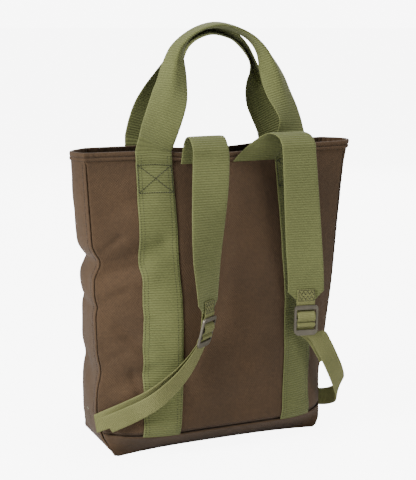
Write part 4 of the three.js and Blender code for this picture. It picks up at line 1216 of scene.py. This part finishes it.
def makeCanvasStitching():
    bm = bmesh.new()
    info = canvasSeams
    stations = ringStations(info["stations"])
    stations.append(stations[0])
    for offset, sign in info["binding"]:
        stitchPath(bm, [(bindingPoint(*at, rim["groove"], offset), rimDirection(*at).normalized() * sign)
                        for at in stations])
    for side in ("near", "far"):
        for share in (bootShare + info["besideHem"] / rimHeight, bootShare - info["besideHem"] / rimHeight):
            stitchPath(bm, wallLine(side, (-info["hemEnd"], share), (info["hemEnd"], share), info["hemLift"]))
    for side in ("left", "right"):
        for s in (-info["side"], info["side"]):
            ends = [(s, share) for share in info["sideEnds"]]
            stitchPath(bm, wallLine(side, *ends, info["sideLift"]), sideStitch)
    finishPiece("canvasStitching", bm, threads["brown"])


# a short bar of pale stitches on the left wall beside the adjuster's end, and a row of dark stitches that paints
# the shade of a slit there
barTacks = {
    "barTack": {"thread": "pale", "start": (0.4, 0.144), "end": (0.5, 0.139)},
    # dark stitches in place of the slit's opening: painted shade, no slit is cut
    "slitShadeStitches": {"thread": "dark", "start": (0.5, 0.137), "end": (0.62, 0.108)},
}


def makeBarTack(name):
    info = barTacks[name]
    bm = bmesh.new()
    stitchPath(bm, wallLine("left", info["start"], info["end"], 0.3, 8), sideStitch)
    finishPiece(name, bm, threads[info["thread"]])


makeCanvasStitching()
for name in barTacks:
    makeBarTack(name)


def makeTabStitching(side):
    bm = bmesh.new()
    info, tab = tabSeams, tabRibbons[side]
    lift = -(straps["narrowThickness"] / 2 + info["lift"])  # the front leaf's face is the ribbon's under side
    for low, high in info["zigzags"]:
        teeth = [(high if k % 2 else low, lerp(-info["reach"], info["reach"], k / info["teeth"]))
                 for k in range(info["teeth"] + 1)]
        stitchPath(bm, ribbonStrokes(tab, teeth, lift), tabStitch)
    reach, (low, high) = info["boxReach"], info["box"]
    box = [(low, -reach), (low, reach), (high, reach), (high, -reach), (low, -reach)]
    stitchPath(bm, ribbonStrokes(tab, box, lift), tabStitch)
    finishPiece(f"{side}TabStitching", bm, threads["dark"])


for side in ("left", "right"):
    makeTabStitching(side)
print("stitching made")


# camera, floor and light

view = {
    "at": (-770.79, -1663.15, 592.46), "towards": (0.42176, 0.89021, -0.17219), "lens": 99.28, "sensor": 36,
    "world": 0.24, "backdrop": 8.0, "floorGlow": 7.3, "floorRadius": 40, "lightsAim": (0, 0, 0.25),
}
floorLook = {
    "light": srgb(232, 232, 231), "dark": srgb(226, 226, 224), "roughness": 0.9, "specular": 0.1,
    "patches": 2.0, "slubs": 200.0,
}
cameraData = bpy.data.cameras.new("camera")
cameraData.lens, cameraData.sensor_width, cameraData.sensor_fit = view["lens"], view["sensor"], "AUTO"
cameraData.clip_start, cameraData.clip_end = 0.05, 200
camera = newObject("camera", cameraData)
camera.location = Vector(view["at"]) * mm
camera.rotation_mode = "QUATERNION"
camera.rotation_quaternion = Vector(view["towards"]).to_track_quat("-Z", "Y")
bpy.context.scene.camera = camera

bm = bmesh.new()
bmesh.ops.create_circle(bm, cap_ends=True, segments=96, radius=view["floorRadius"])
floorMesh = bpy.data.meshes.new("floor")
bm.to_mesh(floorMesh)
bm.free()
floorMaterial, floorTree, floorShader = startMaterial("paleFloor", floorLook)
floorPatch = mottleNode(floorTree, floorLook).outputs["Patch"]
floorColour = mixColour(floorTree, floorPatch, floorLook["dark"], floorLook["light"])
floorTree.links.new(floorColour, floorShader.inputs["Base Color"])
floorShader.inputs["Emission Color"].default_value = (1, 1, 1, 1)
seen = floorTree.nodes.new("ShaderNodeLightPath").outputs["Is Camera Ray"]  # white to the eye, dim as a light
floorGlow = mathNode(floorTree, "MULTIPLY", seen, view["floorGlow"])
floorTree.links.new(floorGlow, floorShader.inputs["Emission Strength"])
floorMesh.materials.append(floorMaterial)
newObject("floor", floorMesh)

world = bpy.data.worlds.new("studio")
world.use_nodes = True
tree = world.node_tree
seen = tree.nodes.new("ShaderNodeLightPath").outputs["Is Camera Ray"]
background = tree.nodes["Background"]
background.inputs["Color"].default_value = (1, 1, 1, 1)
strength = mathNode(tree, "MULTIPLY_ADD", seen, view["backdrop"] - view["world"], view["world"])
tree.links.new(strength, background.inputs["Strength"])
bpy.context.scene.world = world

lights = {
    "key": {"at": (-2.1, -0.58, 1.25), "size": 0.8, "power": 76},
    "front": {"at": (1.3, -2.3, 1.1), "size": 1.3, "power": 16},
    "top": {"at": (0.3, -0.3, 2.3), "size": 1.4, "power": 27},
    "back": {"at": (1.6, 2.3, 1.5), "size": 1.6, "power": 45},
}
for name, info in lights.items():
    data = bpy.data.lights.new(name, "AREA")
    data.energy, data.size = info["power"], info["size"]
    light = newObject(name, data)
    light.location = info["at"]
    light.rotation_mode = "QUATERNION"
    light.rotation_quaternion = (Vector(view["lightsAim"]) - Vector(info["at"])).to_track_quat("-Z", "Y")
print("camera and light set")
